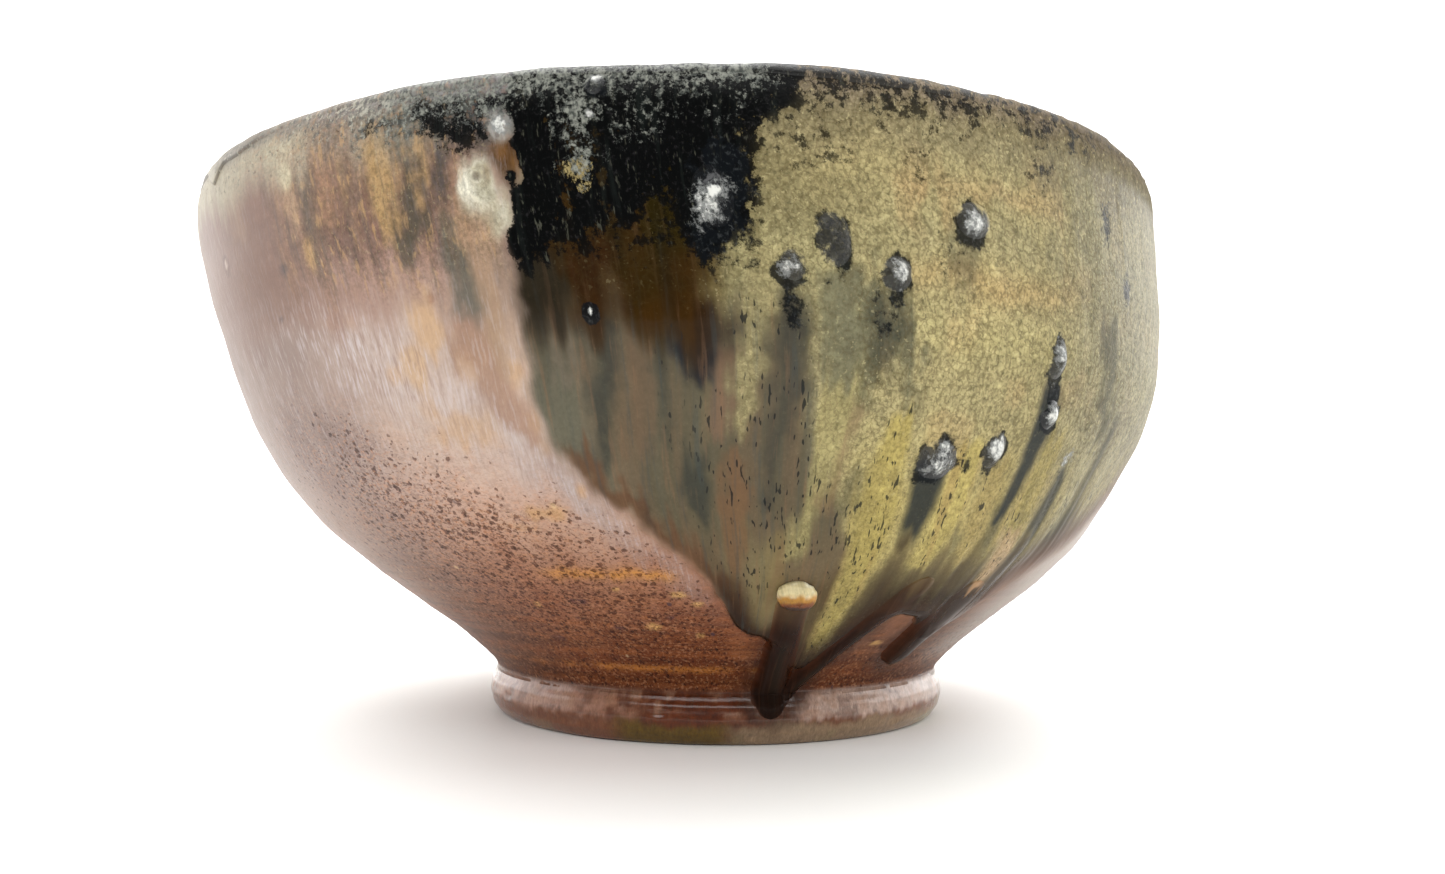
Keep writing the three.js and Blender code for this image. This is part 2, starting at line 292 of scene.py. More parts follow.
def coat_height(th, s, d):
    """How far the sheet stands off the clay, from the distance to its edge."""
    low = smooth(-2, 6, th) * (1 - smooth(at(30), at(42), s))
    left, far = smooth(1, -5, th), smooth(40, 50, th)
    thick = (0.16 - 0.06 * left) * (1 - 0.4 * far * smooth(90, 70, th)) + 0.34 * low * (1 - 0.92 * far)
    roll = 0.9 + 0.5 * low + 1.5 * left + 2.2 * low * far
    t = np.clip(d / roll, 0, 1)
    h = thick * np.sqrt(np.clip(1 - (1 - t) ** 2, 0, 1))
    h = h * (1 - 0.35 * low * smooth(1.5, 5.0, d))
    h = h + smooth(0.4, 2.5, d) * (
        0.07 * streaks(th, s, 2.4, 22, 21, 2) + 0.03 * streaks(th, s, 0.9, 10, 23, 2)
    )
    rough = smooth(6, 12, th) * smooth(at(30), at(36), s)
    f = flow_of(th, s)
    h = h + smooth(0.4, 2.5, d) * (0.25 + rough) * 0.03 * fbm(f[..., 0] / 0.9, f[..., 1] / 0.9, s / 0.9, 29, 2)
    return np.where(d < 0, np.maximum(d * 0.8, -0.4), h)


def ground(th, s):
    """Height of the finished outside, without the lumps on it."""
    d = edge_distance(th, s)
    clay = throwing(th, s)
    return clay + np.maximum(coat_height(th, s, d), 0.0)


# ------------------------------------------------------------------------------------------------------------------
# colour of the outside
# ------------------------------------------------------------------------------------------------------------------
MASKS = ("mottle", "pale", "gold", "dash", "hair", "fleck", "streak", "white", "halo", "rough", "ochre", "grain", "black", "veil", "net")
KHAKI, KHAKI_TOP, KHAKI_GREY = colour(158, 147, 106), colour(122, 112, 86), colour(166, 160, 134)
MUSTARD, MUSTARD_PALE = colour(174, 158, 98), colour(190, 180, 136)
CENTRE, CENTRE_LOW = colour(88, 81, 64), colour(110, 95, 72)
SLATE, BROWN, OLIVE = colour(70, 80, 80), colour(124, 94, 70), colour(138, 130, 90)
AMBER, AMBER_HI, OLIVE_DARK = colour(46, 28, 4), colour(94, 58, 16), colour(42, 36, 8)
CHOC, CHOC_WARM = colour(44, 29, 19), colour(70, 52, 38)
MAUVE_BROWN, MAUVE = colour(112, 84, 71), colour(176, 154, 144)
LILAC, LAVENDER = colour(190, 173, 165), colour(156, 147, 145)
PEACH, OCHRE = colour(186, 152, 120), colour(180, 146, 100)
ASH_CREAM, ASH_GREY = colour(196, 184, 156), colour(150, 146, 132)
BLUE_BLACK, OCHRE_LINE = colour(28, 34, 42), colour(204, 146, 88)


def ramp(z, stops):
    """Colour by height from (height, r, g, b) stops."""
    p = np.array(stops, float)
    cols = colour(p[:, 1], p[:, 2], p[:, 3]).T
    return np.stack([np.interp(z, p[:, 0], cols[:, k]) for k in range(3)], -1)


CLAY_FRONT = [(6, 92, 44, 18), (8.5, 104, 52, 24), (12, 120, 68, 40), (16, 142, 92, 67), (20, 162, 118, 94), (24, 180, 145, 124), (28, 188, 157, 139), (34, 193, 169, 152), (40, 180, 156, 138)]
CLAY_LEFT = [(6, 96, 60, 42), (8.5, 118, 80, 60), (12, 134, 97, 78), (16, 148, 117, 100), (20, 158, 133, 120), (24, 166, 144, 134), (30, 172, 154, 147), (36, 179, 159, 151), (44, 174, 153, 143), (50, 170, 148, 134), (56, 164, 144, 126)]


class Wall:
    """The ragged coordinates and brushes every colour on the outside is laid on with."""

    def __init__(self, th, s):
        self.th, self.s = th, s
        self.z = np.where(s < S_CREST, prof(np.minimum(s, S_CREST))[1], RIM)
        self.f = flow_of(th, s)
        nz = self.nz
        self.w1, self.w2, self.w3, self.w4 = nz(3.2, 101, 2, 8), nz(1.1, 103, 2, 12), nz(1.7, 107, 3, 30), nz(0.8, 109, 2, 40)
        self.b1, self.b2, self.b3 = nz(15, 113), nz(5, 117), nz(1.7, 119)
        self.tr = th + 1.3 * self.w2 + 0.8 * self.b3  # angle and length with ragged edges
        self.tn = th + 0.6 * self.w2 + 0.3 * self.b3
        self.sr = s + 2.0 * self.w4 + 1.0 * self.b3
        self.zr = self.z + 2.4 * self.w3 + 1.2 * self.w4

    def nz(self, size, seed, octaves=2, tall=1.0):
        f = self.f
        return fbm(f[..., 0] / size, f[..., 1] / size, f[..., 2] / (size * tall), seed, octaves)

    def st(self, path, soft=1.0, ragged=True):
        return stroke(self.tr if ragged else self.tn, self.sr, path, soft)

    def spot(self, t0, z0, rx, ry, soft=0.3, ragged=0.25):
        q = oval(self.th, self.s, t0, z0, rx, ry) + ragged * (self.w2 + self.b3)
        return 1 - smooth(1 - soft, 1 + soft, q)


def paint_clay(W):
    """Bare clay, flashed by the ash, and the drips under the lip."""
    th, s, z, f, st, spot = W.th, W.s, W.z, W.f, W.st, W.spot
    w1, w2, w3, b1, b2, b3, tr, tn, zr = W.w1, W.w2, W.w3, W.b1, W.b2, W.b3, W.tr, W.tn, W.zr
    m = {k: np.zeros(np.shape(th)) for k in MASKS}

    # ---- bare clay: red-brown at the foot, pinker and paler up the wall, greyer round to the left
    zc = z + 1.6 * w3 + 1.8 * b2
    left = smooth(-24, -46, th + 4 * b1)
    base = lay(ramp(zc, CLAY_FRONT), ramp(zc, CLAY_LEFT), left)
    base = lay(base, colour(116, 80, 60), 0.7 * smooth(14, 30, th) * smooth(8, 12, z))
    base = lay(base, colour(150, 96, 60), 0.35 * smooth(0.1, 0.6, b2 + 0.4 * b3) * (1 - smooth(20, 30, z)))
    base = lay(base, colour(150, 128, 122), 0.5 * smooth(0.0, 0.5, -b2 + 0.3 * b3) * smooth(14, 22, z) * left)
    ln = value_noise(f[..., 0] / 50, f[..., 1] / 50, (s + th * 0.012) / 0.42, 41)
    low_ = 1 - smooth(12, 25, z)
    base = lay(base, colour(160, 96, 54), 0.42 * smooth(0.1, 0.7, ln + 0.7 * b3) * low_)
    base = lay(base, colour(60, 26, 14), 0.42 * smooth(0.1, 0.7, -ln + 0.7 * b3 - 0.3 * w1) * low_)
    m["rough"] += 0.42
    m["grain"] += 0.5
    m["hair"] += 0.3 * smooth(24, 34, z)
    top_of_flecks = table([(-70, 38), (-50, 38), (-38, 36), (-30, 34), (-24, 31), (-18, 28.5), (-12, 26.5), (-4, 22), (4, 15)], th)
    fleck = (1 - smooth(top_of_flecks - 9, top_of_flecks + 5, z + 2.5 * b2 + 1.5 * w2)) * smooth(7.5, 12, z)
    fleck = fleck * (0.35 + 0.65 * smooth(-58, -30, th)) * (1 - 0.25 * smooth(10, 20, th))
    m["fleck"] = np.maximum(0.95 * fleck, 0.8 * (1 - smooth(9, 14, z)))

    # the flash beside the sheet: lilac and lavender, with fine hairs. The lilac and lavender are partly the flashing's
    # own colour and partly painted sheen standing in for the floor's reflection
    line = table([(-70, 50), (-60, 47), (-46, 44.5), (-35, 42), (-27.5, 38.6), (-20, 34.6), (-13.5, 29), (-10.7, 26), (-7.8, 23), (-2.6, 18.9), (3, 13.5)], th)
    width = table([(-60, 9), (-40, 6.5), (-26, 5.5), (-15, 3.6), (-8, 2.3), (-3, 1.5), (6, 0.8)], th)
    q = (z - line + 1.6 * w2 + 1.4 * b2 + 0.8 * b3) / width
    glow = np.exp(-(q**2)) * (1 - smooth(-3, 2, th)) * smooth(-52, -33, th)
    base = lay(base, LILAC, 0.8 * glow * (1 - smooth(-22, -10, th)))
    base = lay(base, LAVENDER, 0.66 * glow * smooth(-24, -12, th) * (1 - 0.6 * smooth(-12.5, -6.5, th)))
    m["hair"] = np.maximum(m["hair"], glow * (0.5 + 0.35 * smooth(-18, -34, th)))
    m["rough"] -= 0.06 * glow
    # a warmer brown lies between the flash and the sheet
    base = lay(base, colour(150, 116, 94), 0.75 * st(((-19.5, 41, 1.8), (-17.5, 35.5, 2.0), (-14.8, 31.4, 0.9)), 2.2))
    for t0, z0, rx, ry, c, a in (
        (-22.6, 33.6, 2.9, 2.2, (190, 153, 112), 0.75), (-25.7, 39.3, 1.4, 1.6, (198, 160, 112), 0.8), (-28.5, 38.4, 0.7, 0.9, (196, 158, 116), 0.6), (-16.7, 25.5, 2.2, 0.8, (192, 148, 88), 0.75),
        (-20.6, 24.2, 1.6, 0.6, (186, 146, 100), 0.5), (-30.8, 46.6, 0.6, 0.8, (190, 152, 108), 0.6), (-26.8, 46.8, 1.0, 1.3, (196, 164, 116), 0.85), (-34.0, 43.8, 1.6, 0.7, (196, 156, 124), 0.5),
         (-20.6, 38.8, 1.2, 1.6, (188, 150, 112), 0.5), (-9.9, 29.2, 0.5, 1.3, (206, 158, 84), 0.95),
        (-11.5, 27.6, 0.45, 0.8, (192, 146, 90), 0.7), (-15.7, 37.9, 0.45, 1.1, (196, 158, 116), 0.7), (-14.4, 33.9, 0.45, 0.9, (176, 144, 110), 0.5), (-14.0, 31.8, 0.6, 0.9, (170, 140, 110), 0.45),
        (-43.0, 55.5, 1.3, 1.9, (196, 160, 122), 0.5), (-49.0, 50.0, 0.8, 2.2, (194, 164, 136), 0.4), (-31.0, 33.0, 2.6, 1.4, (204, 170, 146), 0.4),
    ):
        base = lay(base, colour(*c), 0.72 * a * spot(t0, z0, rx, ry, 0.6, 0.8))

    # above the flash the wall turns a warm mauve again
    k = smooth(41.0, 46.0, zr + 1.5 * b2) * (1 - smooth(-15, -13, tn)) * smooth(-75, -55, th)
    base = lay(base, colour(160, 130, 117), 0.85 * k * (1 - 0.4 * smooth(-30, -22, th)))
    m["hair"] = m["hair"] * (1 - 0.5 * k)
    # throwing lines that caught the ochre
    catch = np.exp(-((z - 19.6 + 0.35 * w2) / 0.55) ** 2) * smooth(-24, -18, th) * (1 - smooth(-5.5, -3.0, th))
    base = lay(base, colour(196, 136, 68), 0.95 * catch * smooth(-0.7, 0.0, b3 + w1))
    catch = np.exp(-((z - 8.7 + 0.2 * w1) / 0.36) ** 2) * (0.15 + 0.85 * smooth(-0.1, 0.5, w1 + 0.5 * smooth(-30, -22, th) * (1 - smooth(0, 5, th))))
    base = lay(base, colour(184, 118, 54), 0.9 * catch)
    catch = np.exp(-((z - 7.3) / 0.5) ** 2)
    base = lay(base, colour(104, 58, 28), 0.6 * catch)
    for t0, z0, rx, ry in ((-4.3, 17.6, 0.8, 0.5), (-1.9, 16.6, 0.5, 0.35), (-9.2, 13.9, 0.8, 0.5), (-2.0, 13.0, 0.5, 0.4), (-12.5, 18.0, 0.4, 0.3), (-26.5, 16.0, 0.4, 0.4), (30.4, 11.6, 0.6, 0.35)):
        base = lay(base, colour(214, 170, 104), 0.9 * spot(t0, z0, rx, ry, 0.4, 0.3))
    for t0, z0, rx, ry in ((-19.4, 16.6, 1.0, 0.5), (-15.2, 13.7, 0.7, 0.45), (-28.4, 12.0, 0.8, 0.5), (-6.2, 15.0, 0.4, 0.3)):
        base = lay(base, colour(58, 42, 56), 0.75 * spot(t0, z0, rx, ry, 0.5, 0.3))

    # ---- under the lip, left of the sheet: mauve-brown, ochre and slate drips, then ash
    up = smooth(44.5, 50.0, zr + 1.2 * b2) * (1 - smooth(-14.6, -12.8, tn)) * smooth(-62, -40, th + 3 * b2)
    base = lay(base, colour(150, 120, 108), 0.8 * up)
    base = lay(base, MAUVE_BROWN, 0.8 * up * smooth(-40, -33, th) * smooth(47.5, 52, zr))
    m["streak"] = np.maximum(m["streak"], 0.7 * up * smooth(-48, -36, th))
    m["hair"] = m["hair"] * (1 - 0.6 * up)
    och = smooth(-0.05, 0.3, w2 * 0.7 + w1 * 0.7 + 0.25 * smooth(50, 60, z) - 0.12)
    base = lay(base, colour(158, 126, 104), 0.45 * up * och)
    m["ochre"] = 0.45 * up * smooth(-42, -33, th)
    m["mottle"] = np.maximum(m["mottle"], 0.55 * up * smooth(-44, -33, th))
    m["net"] = np.maximum(m["net"], 0.35 * up * smooth(-44, -33, th))
    for path, c, a in (
        (((-24.9, 60.5, 2.0), (-24.9, 57, 1.9), (-25.0, 54, 1.5), (-24.8, 51.0, 0.8)), colour(176, 144, 98), 0.9),
        (((-20.6, 59.0, 0.9), (-20.6, 57, 1.1), (-20.6, 54.6, 0.7)), colour(172, 140, 98), 0.85),
        (((-28.9, 59.0, 0.8), (-28.9, 55.4, 0.5)), OCHRE, 0.5),
        (((-31.6, 59.5, 1.4), (-31.6, 54.0, 1.2)), colour(160, 124, 98), 0.7),
        (((-36.2, 60.5, 1.7), (-36.2, 56.4, 1.6), (-36.0, 54.2, 1.0)), colour(188, 158, 128), 0.8),
        (((-46.0, 61.0, 1.6), (-46.0, 55.0, 1.0)), colour(186, 158, 132), 0.4),
        (((-16.2, 52.4, 1.6), (-16.4, 50.0, 2.0), (-16.6, 47.0, 1.7), (-17.0, 44.0, 1.5), (-17.2, 41, 1.0), (-16.8, 38, 0.5)), colour(152, 126, 102), 0.85),
        (((-23.6, 44.2, 1.4), (-23.4, 42.4, 1.8), (-22.4, 41.2, 1.2)), colour(196, 162, 126), 0.8),
        (((-33.6, 60.0, 0.6), (-33.5, 56, 0.8), (-34.0, 52.0, 1.0), (-34.2, 51.2, 0.7)), colour(100, 90, 80), 0.7),
        (((-28.4, 58.0, 0.5), (-28.6, 54.5, 0.7), (-29.0, 50.2, 0.5)), colour(88, 76, 68), 0.6),
        (((-39.6, 60.5, 0.6), (-39.8, 56.0, 0.4)), colour(120, 110, 100), 0.5),
        (((-22.2, 59.0, 0.5), (-22.0, 55.0, 1.0), (-22.3, 52.4, 1.5), (-22.9, 50.2, 1.3), (-23.4, 48.6, 0.6)), colour(76, 72, 62), 0.85),
        (((-18.4, 61.5, 1.0), (-18.3, 58.0, 1.1), (-18.6, 54.6, 1.0), (-18.9, 52.6, 0.6)), colour(58, 60, 62), 0.85),
        (((-19.2, 50.2, 0.9), (-19.0, 48.4, 1.4), (-18.7, 46.0, 1.5), (-18.9, 43.6, 1.2), (-19.0, 42.6, 0.6)), colour(92, 90, 80), 0.9),
        (((-14.6, 48.0, 0.7), (-14.6, 42.5, 0.9), (-14.8, 38.5, 0.5)), colour(118, 104, 92), 0.7),
    ):
        k = a * st(path, 1.8)
        base = lay(base, c, k)
        m["ochre"] *= 1 - 0.4 * k
    for t0, z0, rx, ry, c, a in (
        (-36.3, 58.4, 1.1, 1.2, (212, 208, 178), 0.8), (-39.6, 49.7, 0.7, 0.6, (84, 84, 96), 0.6), (-22.3, 45.0, 0.5, 0.5, (150, 110, 84), 0.6), (-42.8, 45.2, 0.4, 0.35, (96, 84, 86), 0.6),
    ):
        base = lay(base, colour(*c), a * spot(t0, z0, rx, ry, 0.5, 0.3))
    base = lay(base, colour(196, 160, 112), 0.9 * spot(-35.1, 50.4, 0.85, 1.6, 0.45, 0.2))
    q = oval(th, s, -52.2, 52.4, 1.0, 1.1)
    base = lay(base, colour(128, 92, 80), 0.8 * np.exp(-((q - 0.8) / 0.25) ** 2))
    base = lay(base, colour(218, 200, 188), 0.8 * (1 - smooth(0.3, 0.6, q)))
    lip = smooth(56.5, 61.5, zr + 1.0 * b2)
    base = lay(base, colour(180, 168, 148), 0.8 * lip * smooth(-26, -36, th))
    base = lay(base, colour(214, 210, 184), 0.7 * lip * smooth(-30, -38, th) * (1 - smooth(-66, -86, th)))
    base = lay(base, ASH_GREY, 0.6 * lip * smooth(-34, -26, th))
    base = lay(base, colour(92, 98, 92), 0.85 * smooth(57.5, 61, zr) * smooth(-29, -18, th))
    base = lay(base, colour(40, 46, 52), 0.8 * smooth(55.5, 59, zr + 1.0 * w1) * smooth(-20, -15.5, th))
    rim_ = smooth(61.4, 63.2, z + 0.5 * w1) * smooth(-56, -46, th)
    base = lay(base, colour(150, 148, 146), 0.7 * rim_)
    m["pale"] = np.maximum(m["pale"], (0.42 + 0.14 * smooth(-36, -26, th)) * lip + 0.06 * rim_)
    m["mottle"] = np.maximum(m["mottle"], (0.3 + 0.3 * smooth(-36, -26, th)) * lip)
    m["black"] = np.maximum(m["black"], smooth(57.0, 61.5, z + 1.6 * w1 + 2.4 * smooth(-22, -15, th)) * (0.03 + 0.66 * smooth(-37, -17, th)) * (1 - 0.4 * rim_))
    m["rough"] += 0.05 * lip
    m["veil"] = smooth(-30, -20, th) * lip
    m["fleck"] = np.maximum(m["fleck"], 0.3 * smooth(56, 61, zr) * smooth(-52, -40, th))

    return base, m


def paint_outside(th, s):
    """Base colour and the shader's masks for points on the outside, the foot and the lip."""
    th = (np.asarray(th, float) + 180) % 360 - 180
    W = Wall(th, s)
    z, st, spot = W.z, W.st, W.spot
    w1, w2, w3, b1, b2, b3, tr, tn, zr = W.w1, W.w2, W.w3, W.b1, W.b2, W.b3, W.tr, W.tn, W.zr
    d = edge_distance(th, s)
    base, m = paint_clay(W)
    back = smooth(100, 150, th)
    if np.any(back > 0):  # round the back the clay runs on into the left side
        other, m2 = paint_clay(Wall(th - 360, s))
        base = lay(base, other, back)
        m = {k: m[k] * (1 - back) + m2[k] * back for k in m}

    # ---- the ash glaze sheet
    soft_side = smooth(3, -2, th)
    coat = smooth(-0.15 - 0.5 * soft_side, 0.15 + 1.5 * soft_side, d + (0.2 + 0.5 * soft_side) * b3 + 0.5 * soft_side * w2)
    g = np.zeros_like(base) + KHAKI
    g = lay(g, colour(172, 158, 112), 0.6 * smooth(0.0, 0.55, b1 + 0.5 * b2))
    g = lay(g, colour(138, 132, 96), 0.6 * smooth(0.0, 0.55, -b1 + 0.5 * b2))
    g = lay(g, colour(172, 142, 100), 0.35 * smooth(0.15, 0.5, b2 - 0.3 * b1 + 0.3 * w2) * smooth(12, 20, th))
    g = lay(g, colour(126, 116, 82), 0.75 * smooth(49, 54, z + 2 * b2) * smooth(4, 7, th) * (1 - smooth(11, 20, th + 4 * b2)))
    for zb, wb, c, a in ((46.6, 1.5, (176, 146, 98), 0.45), (55.0, 1.1, (170, 138, 98), 0.35), (50.4, 1.6, (140, 134, 102), 0.45), (41.5, 2.0, (172, 162, 112), 0.4), (36.0, 1.6, (150, 140, 102), 0.35), (59.0, 1.2, (128, 122, 94), 0.4)):
        g = lay(g, colour(*c), a * np.exp(-(((z - zb + 1.6 * b2 + 0.8 * w2 + 0.04 * (th - 28)) / wb) ** 2)) * smooth(17, 23, th + 2 * b2) * smooth(-0.35, 0.25, b1 + 0.6 * w3))
    g = lay(g, KHAKI_GREY, 0.75 * smooth(34, 52, th))
    g = lay(g, KHAKI_TOP, 0.85 * smooth(55.5, 62, z + 2.0 * b2))
    gm = {k: np.zeros(np.shape(th)) for k in m}
    gm["mottle"] += 0.82
    gm["net"] += 0.8
    gm["rough"] += 0.44
    gm["grain"] += 1.0
    gm["streak"] += 0.1
    # greyish-dark cloud patches near the top
    gm["black"] = 0.30 * smooth(53, 62, z + 5 * b2) * smooth(6, 10, th) * (1 - smooth(30, 60, th)) + 0.22 * smooth(58, 63, z)
    gm["black"] += 0.12 * smooth(0.2, 0.6, b2 + 0.3 * b3) * smooth(46, 54, z)

    g = lay(g, colour(84, 74, 62), smooth(-9.5, -11.5, th))
    gm["net"] *= smooth(-12, -9, th)
    q = oval(th, s, 16.2, 40.8, 3.8, 6.0) + 0.7 * w2 + 0.5 * b3
    g = lay(g, colour(92, 90, 70), 0.85 * (1 - smooth(0.5, 1.3, q)))
    g = lay(g, colour(146, 136, 116), 0.6 * smooth(43, 54, th) * smooth(40, 30, zr))
    # mustard streams low on the sheet
    must = smooth(36, 26, zr) * smooth(13, 18, tr)
    g = lay(g, MUSTARD, 0.55 * must)
    gm["net"] -= 0.45 * must

    # smooth brown-grey glass in the middle
    right = table([(15, 16.5), (18, 16.5), (22, 16.8), (26, 15.4), (30, 11.8), (34, 10.8), (38, 10.6), (43, 10.2), (50, 8)], z)
    mid = (1 - smooth(right - 1.6, right + 1.6, tr)) * (1 - smooth(42, 46, zr))
    g = lay(g, CENTRE, mid)
    g = lay(g, CENTRE_LOW, mid * smooth(27, 19, zr))
    g = lay(g, colour(122, 118, 100), 0.35 * mid * smooth(34, 24, zr) * smooth(-4, -8, th))
    g = lay(g, colour(98, 97, 84), 0.5 * mid * smooth(0.08, 0.5, w3 + 0.3 * w1) * smooth(20, 30, z))
    g = lay(g, colour(110, 88, 68), 0.35 * mid * smooth(0.02, 0.4, -w3))
    g = lay(g, OLIVE, 0.4 * mid * smooth(0.15, 0.6, w1) * smooth(-2, 4, th))
    g = lay(g, colour(100, 98, 84), 0.6 * mid * smooth(-7, -11, th))
    g = lay(g, colour(74, 68, 54), 0.65 * mid * smooth(35, 41, zr))
    keep = 1 - mid
    for k in ("mottle", "net", "black"):
        gm[k] = gm[k] * (1 - 0.93 * mid)
    gm["streak"] = gm["streak"] * keep + 0.75 * mid
    gm["dash"] = gm["dash"] * keep + mid * smooth(15, 22, z) * (0.1 + 0.5 * smooth(-3, 4, th))
    gm["rough"] = gm["rough"] * keep + 0.09 * mid
    gm["grain"] = gm["grain"] * (1 - 0.9 * mid)

    for path, c, a, calm in (
        # pale khaki ribbons
        (((6.2, 45.5, 1.2), (5.7, 42, 1.3), (4.9, 38, 1.2), (4.3, 34.0, 0.8)), colour(146, 136, 98), 0.9, 0.2),
        (((13.6, 38.6, 1.0), (13.2, 34, 1.4), (12.6, 29, 1.2), (11.2, 25.5, 0.9), (10.0, 22, 0.8)), colour(150, 140, 96), 0.85, 0.3),
        (((13.0, 45.0, 1.4), (13.2, 41.5, 1.7), (13.2, 38.0, 1.3)), colour(108, 105, 82), 0.9, 0.4),
        (((8.6, 23.5, 1.0), (7.6, 19, 1.5), (7.2, 16.5, 1.4)), colour(126, 110, 74), 0.6, 1.0),
        # brown bands
        (((-3.7, 43, 1.2), (-4.2, 37, 1.4), (-4.7, 31.5, 1.0)), colour(104, 84, 66), 0.5, 1.0),
        (((-10.2, 43.5, 1.3), (-10.4, 38, 1.2)), colour(106, 96, 82), 0.6, 1.0),
        (((4.2, 31, 1.0), (3.9, 27, 1.6), (3.4, 22.5, 1.2), (3.4, 19.8, 0.6)), colour(112, 84, 60), 0.75, 1.0),
        (((2.9, 40, 0.8), (2.4, 33, 0.7)), colour(124, 96, 76), 0.6, 1.0),
        (((-10.5, 30.0, 1.6), (-8.0, 27.0, 1.6), (-5.0, 24.4, 1.6), (-2.0, 21.8, 1.5), (0.8, 19.4, 1.4), (3.2, 16.0, 1.3)), colour(94, 67, 48), 0.85, 1.0),
        (((15.0, 34, 0.8), (14.2, 30.5, 0.9), (13.0, 27, 0.6)), colour(118, 92, 70), 0.5, 1.0),
    ):
        k = a * st(path, 1.6)
        g = lay(g, c, k)
        for key in ("mottle", "net"):
            gm[key] = gm[key] * (1 - k) + (1 - calm) * 0.7 * k
    # slate ribbons and their dashes
    for path, a, da in (
        (((9.6, 46, 1.0), (9.2, 43, 1.5), (8.9, 40, 1.4), (8.5, 36, 1.2), (8.1, 31, 0.9), (7.6, 27, 0.6)), 0.6, 1.0),
        (((1.3, 43.0, 1.2), (1.1, 40.6, 1.9), (0.8, 38.6, 1.4), (0.5, 37.4, 0.5)), 1.0, 1.0),
        (((-1.8, 42.5, 0.9), (-2.1, 37, 0.8), (-2.4, 32.0, 0.4)), 0.45, 1.0),
        (((-7.5, 42.0, 1.0), (-7.6, 38, 0.8), (-8.0, 34.4, 0.9), (-8.3, 30.4, 0.5)), 0.75, 0.2),
        (((0.4, 31.0, 0.5), (0.1, 28.4, 1.1), (-0.2, 25.6, 0.7)), 0.75, 0.2),
        (((-5.2, 26.5, 0.5), (-5.0, 23.6, 0.4)), 0.5, 0.0),
        (((17.0, 29.6, 0.8), (16.4, 27.6, 1.5), (15.9, 26.0, 1.0)), 0.55, 0.9),
        (((16.9, 44.5, 1.0), (16.6, 42.0, 1.2), (16.4, 39.0, 0.5)), 0.6, 0.3),
        (((18.4, 45.5, 1.3), (18.2, 42.5, 1.4), (17.9, 39.6, 0.8)), 0.65, 0.3),
        (((26.2, 50.5, 1.6), (25.6, 47.6, 1.2), (25.4, 45.6, 0.6)), 0.5, 0.2),
        (((45.6, 44.5, 1.3), (46.8, 40.5, 1.5), (47.6, 36.8, 1.3), (49.2, 33.0, 0.8), (49.6, 29, 0.6)), 0.6, 0.2),
        (((20.5, 36.0, 0.9), (20.0, 33.0, 0.9)), 0.3, 0.2),
    ):
        k = a * st(path, 1.7)
        g = lay(g, colour(50, 54, 50) if a < 1 else colour(30, 36, 42), k)
        gm["dash"] = np.maximum(gm["dash"] * (1 - 0.3 * k), da * k)
        gm["net"] *= 1 - 0.6 * k
        gm["mottle"] *= 1 - 0.4 * k

    # glass running off the drips: blue-black above, brown below
    up_ = 5.0 * smooth(41, 54, th)
    low_zone = smooth(24.5 + up_, 19.5 + up_, zr) * smooth(19, 23, tr) * (1 - smooth(62, 72, th))
    g = lay(g, colour(100, 88, 62), 0.9 * low_zone)
    g = lay(g, CHOC_WARM, 0.95 * smooth(20.5 + up_, 17.0 + up_, zr) * smooth(19, 23, tr) * (1 - smooth(60, 70, th)))
    g = lay(g, colour(84, 70, 46), 0.8 * smooth(12.5, 14.0, tr) * (1 - smooth(15.6, 17.0, tr)) * smooth(22, 17, zr))
    for key in ("net", "mottle", "black", "grain"):
        gm[key] *= 1 - 0.8 * low_zone
    gm["rough"] = gm["rough"] * (1 - low_zone) + (0.14 + 0.22 * smooth(40, 50, th)) * low_zone
    under = smooth(21.5 + up_, 16.5 + up_, z + 0.8 * w1) * smooth(18, 22, th) * (1 - smooth(56, 66, th))
    g = lay(g, g * 0.42, 0.9 * under * (1 - 0.5 * smooth(40, 48, th)))
    for path, a in (
        (((24.4, 30.0, 2.0), (24.5, 27.4, 1.7), (24.3, 25.4, 1.4), (23.8, 23.4, 0.9)), 0.95),
        (((24.0, 23.4, 1.0), (23.4, 20.6, 1.3), (22.4, 17.4, 1.6), (21.0, 14.0, 1.8)), 0.5),
        (((30.6, 24.4, 0.5), (30.4, 22.0, 1.4), (29.8, 19.5, 2.2)), 0.5),
        (((37.1, 38.0, 1.3), (37.0, 35.0, 1.6), (36.9, 31.0, 1.4), (36.5, 28.5, 1.4), (35.8, 26.4, 0.9)), 0.95),
        (((36.0, 26.4, 0.9), (35.4, 23.0, 1.2), (34.6, 19.8, 1.6)), 0.6),
        (((44.4, 30.0, 0.8), (44.2, 26.5, 1.2), (43.4, 22.0, 1.2), (42.6, 18.5, 1.4)), 0.85),
        (((51.5, 36.0, 0.7), (51.6, 31.0, 1.2), (51.0, 25.5, 1.6), (50.5, 22.0, 2.0)), 0.6),
    ):
        k = a * st(path, 1.4, False)
        g = lay(g, colour(38, 44, 46), k * smooth(22.5, 24.5, zr))
        g = lay(g, colour(76, 64, 46), k * smooth(24.5, 22.5, zr))
        gm["rough"] = gm["rough"] * (1 - k) + (0.14 + 0.22 * smooth(40, 50, th)) * k
        for key in ("net", "mottle", "black", "grain"):
            gm[key] *= 1 - 0.85 * k
        gm["dash"] *= 1 - 0.7 * k
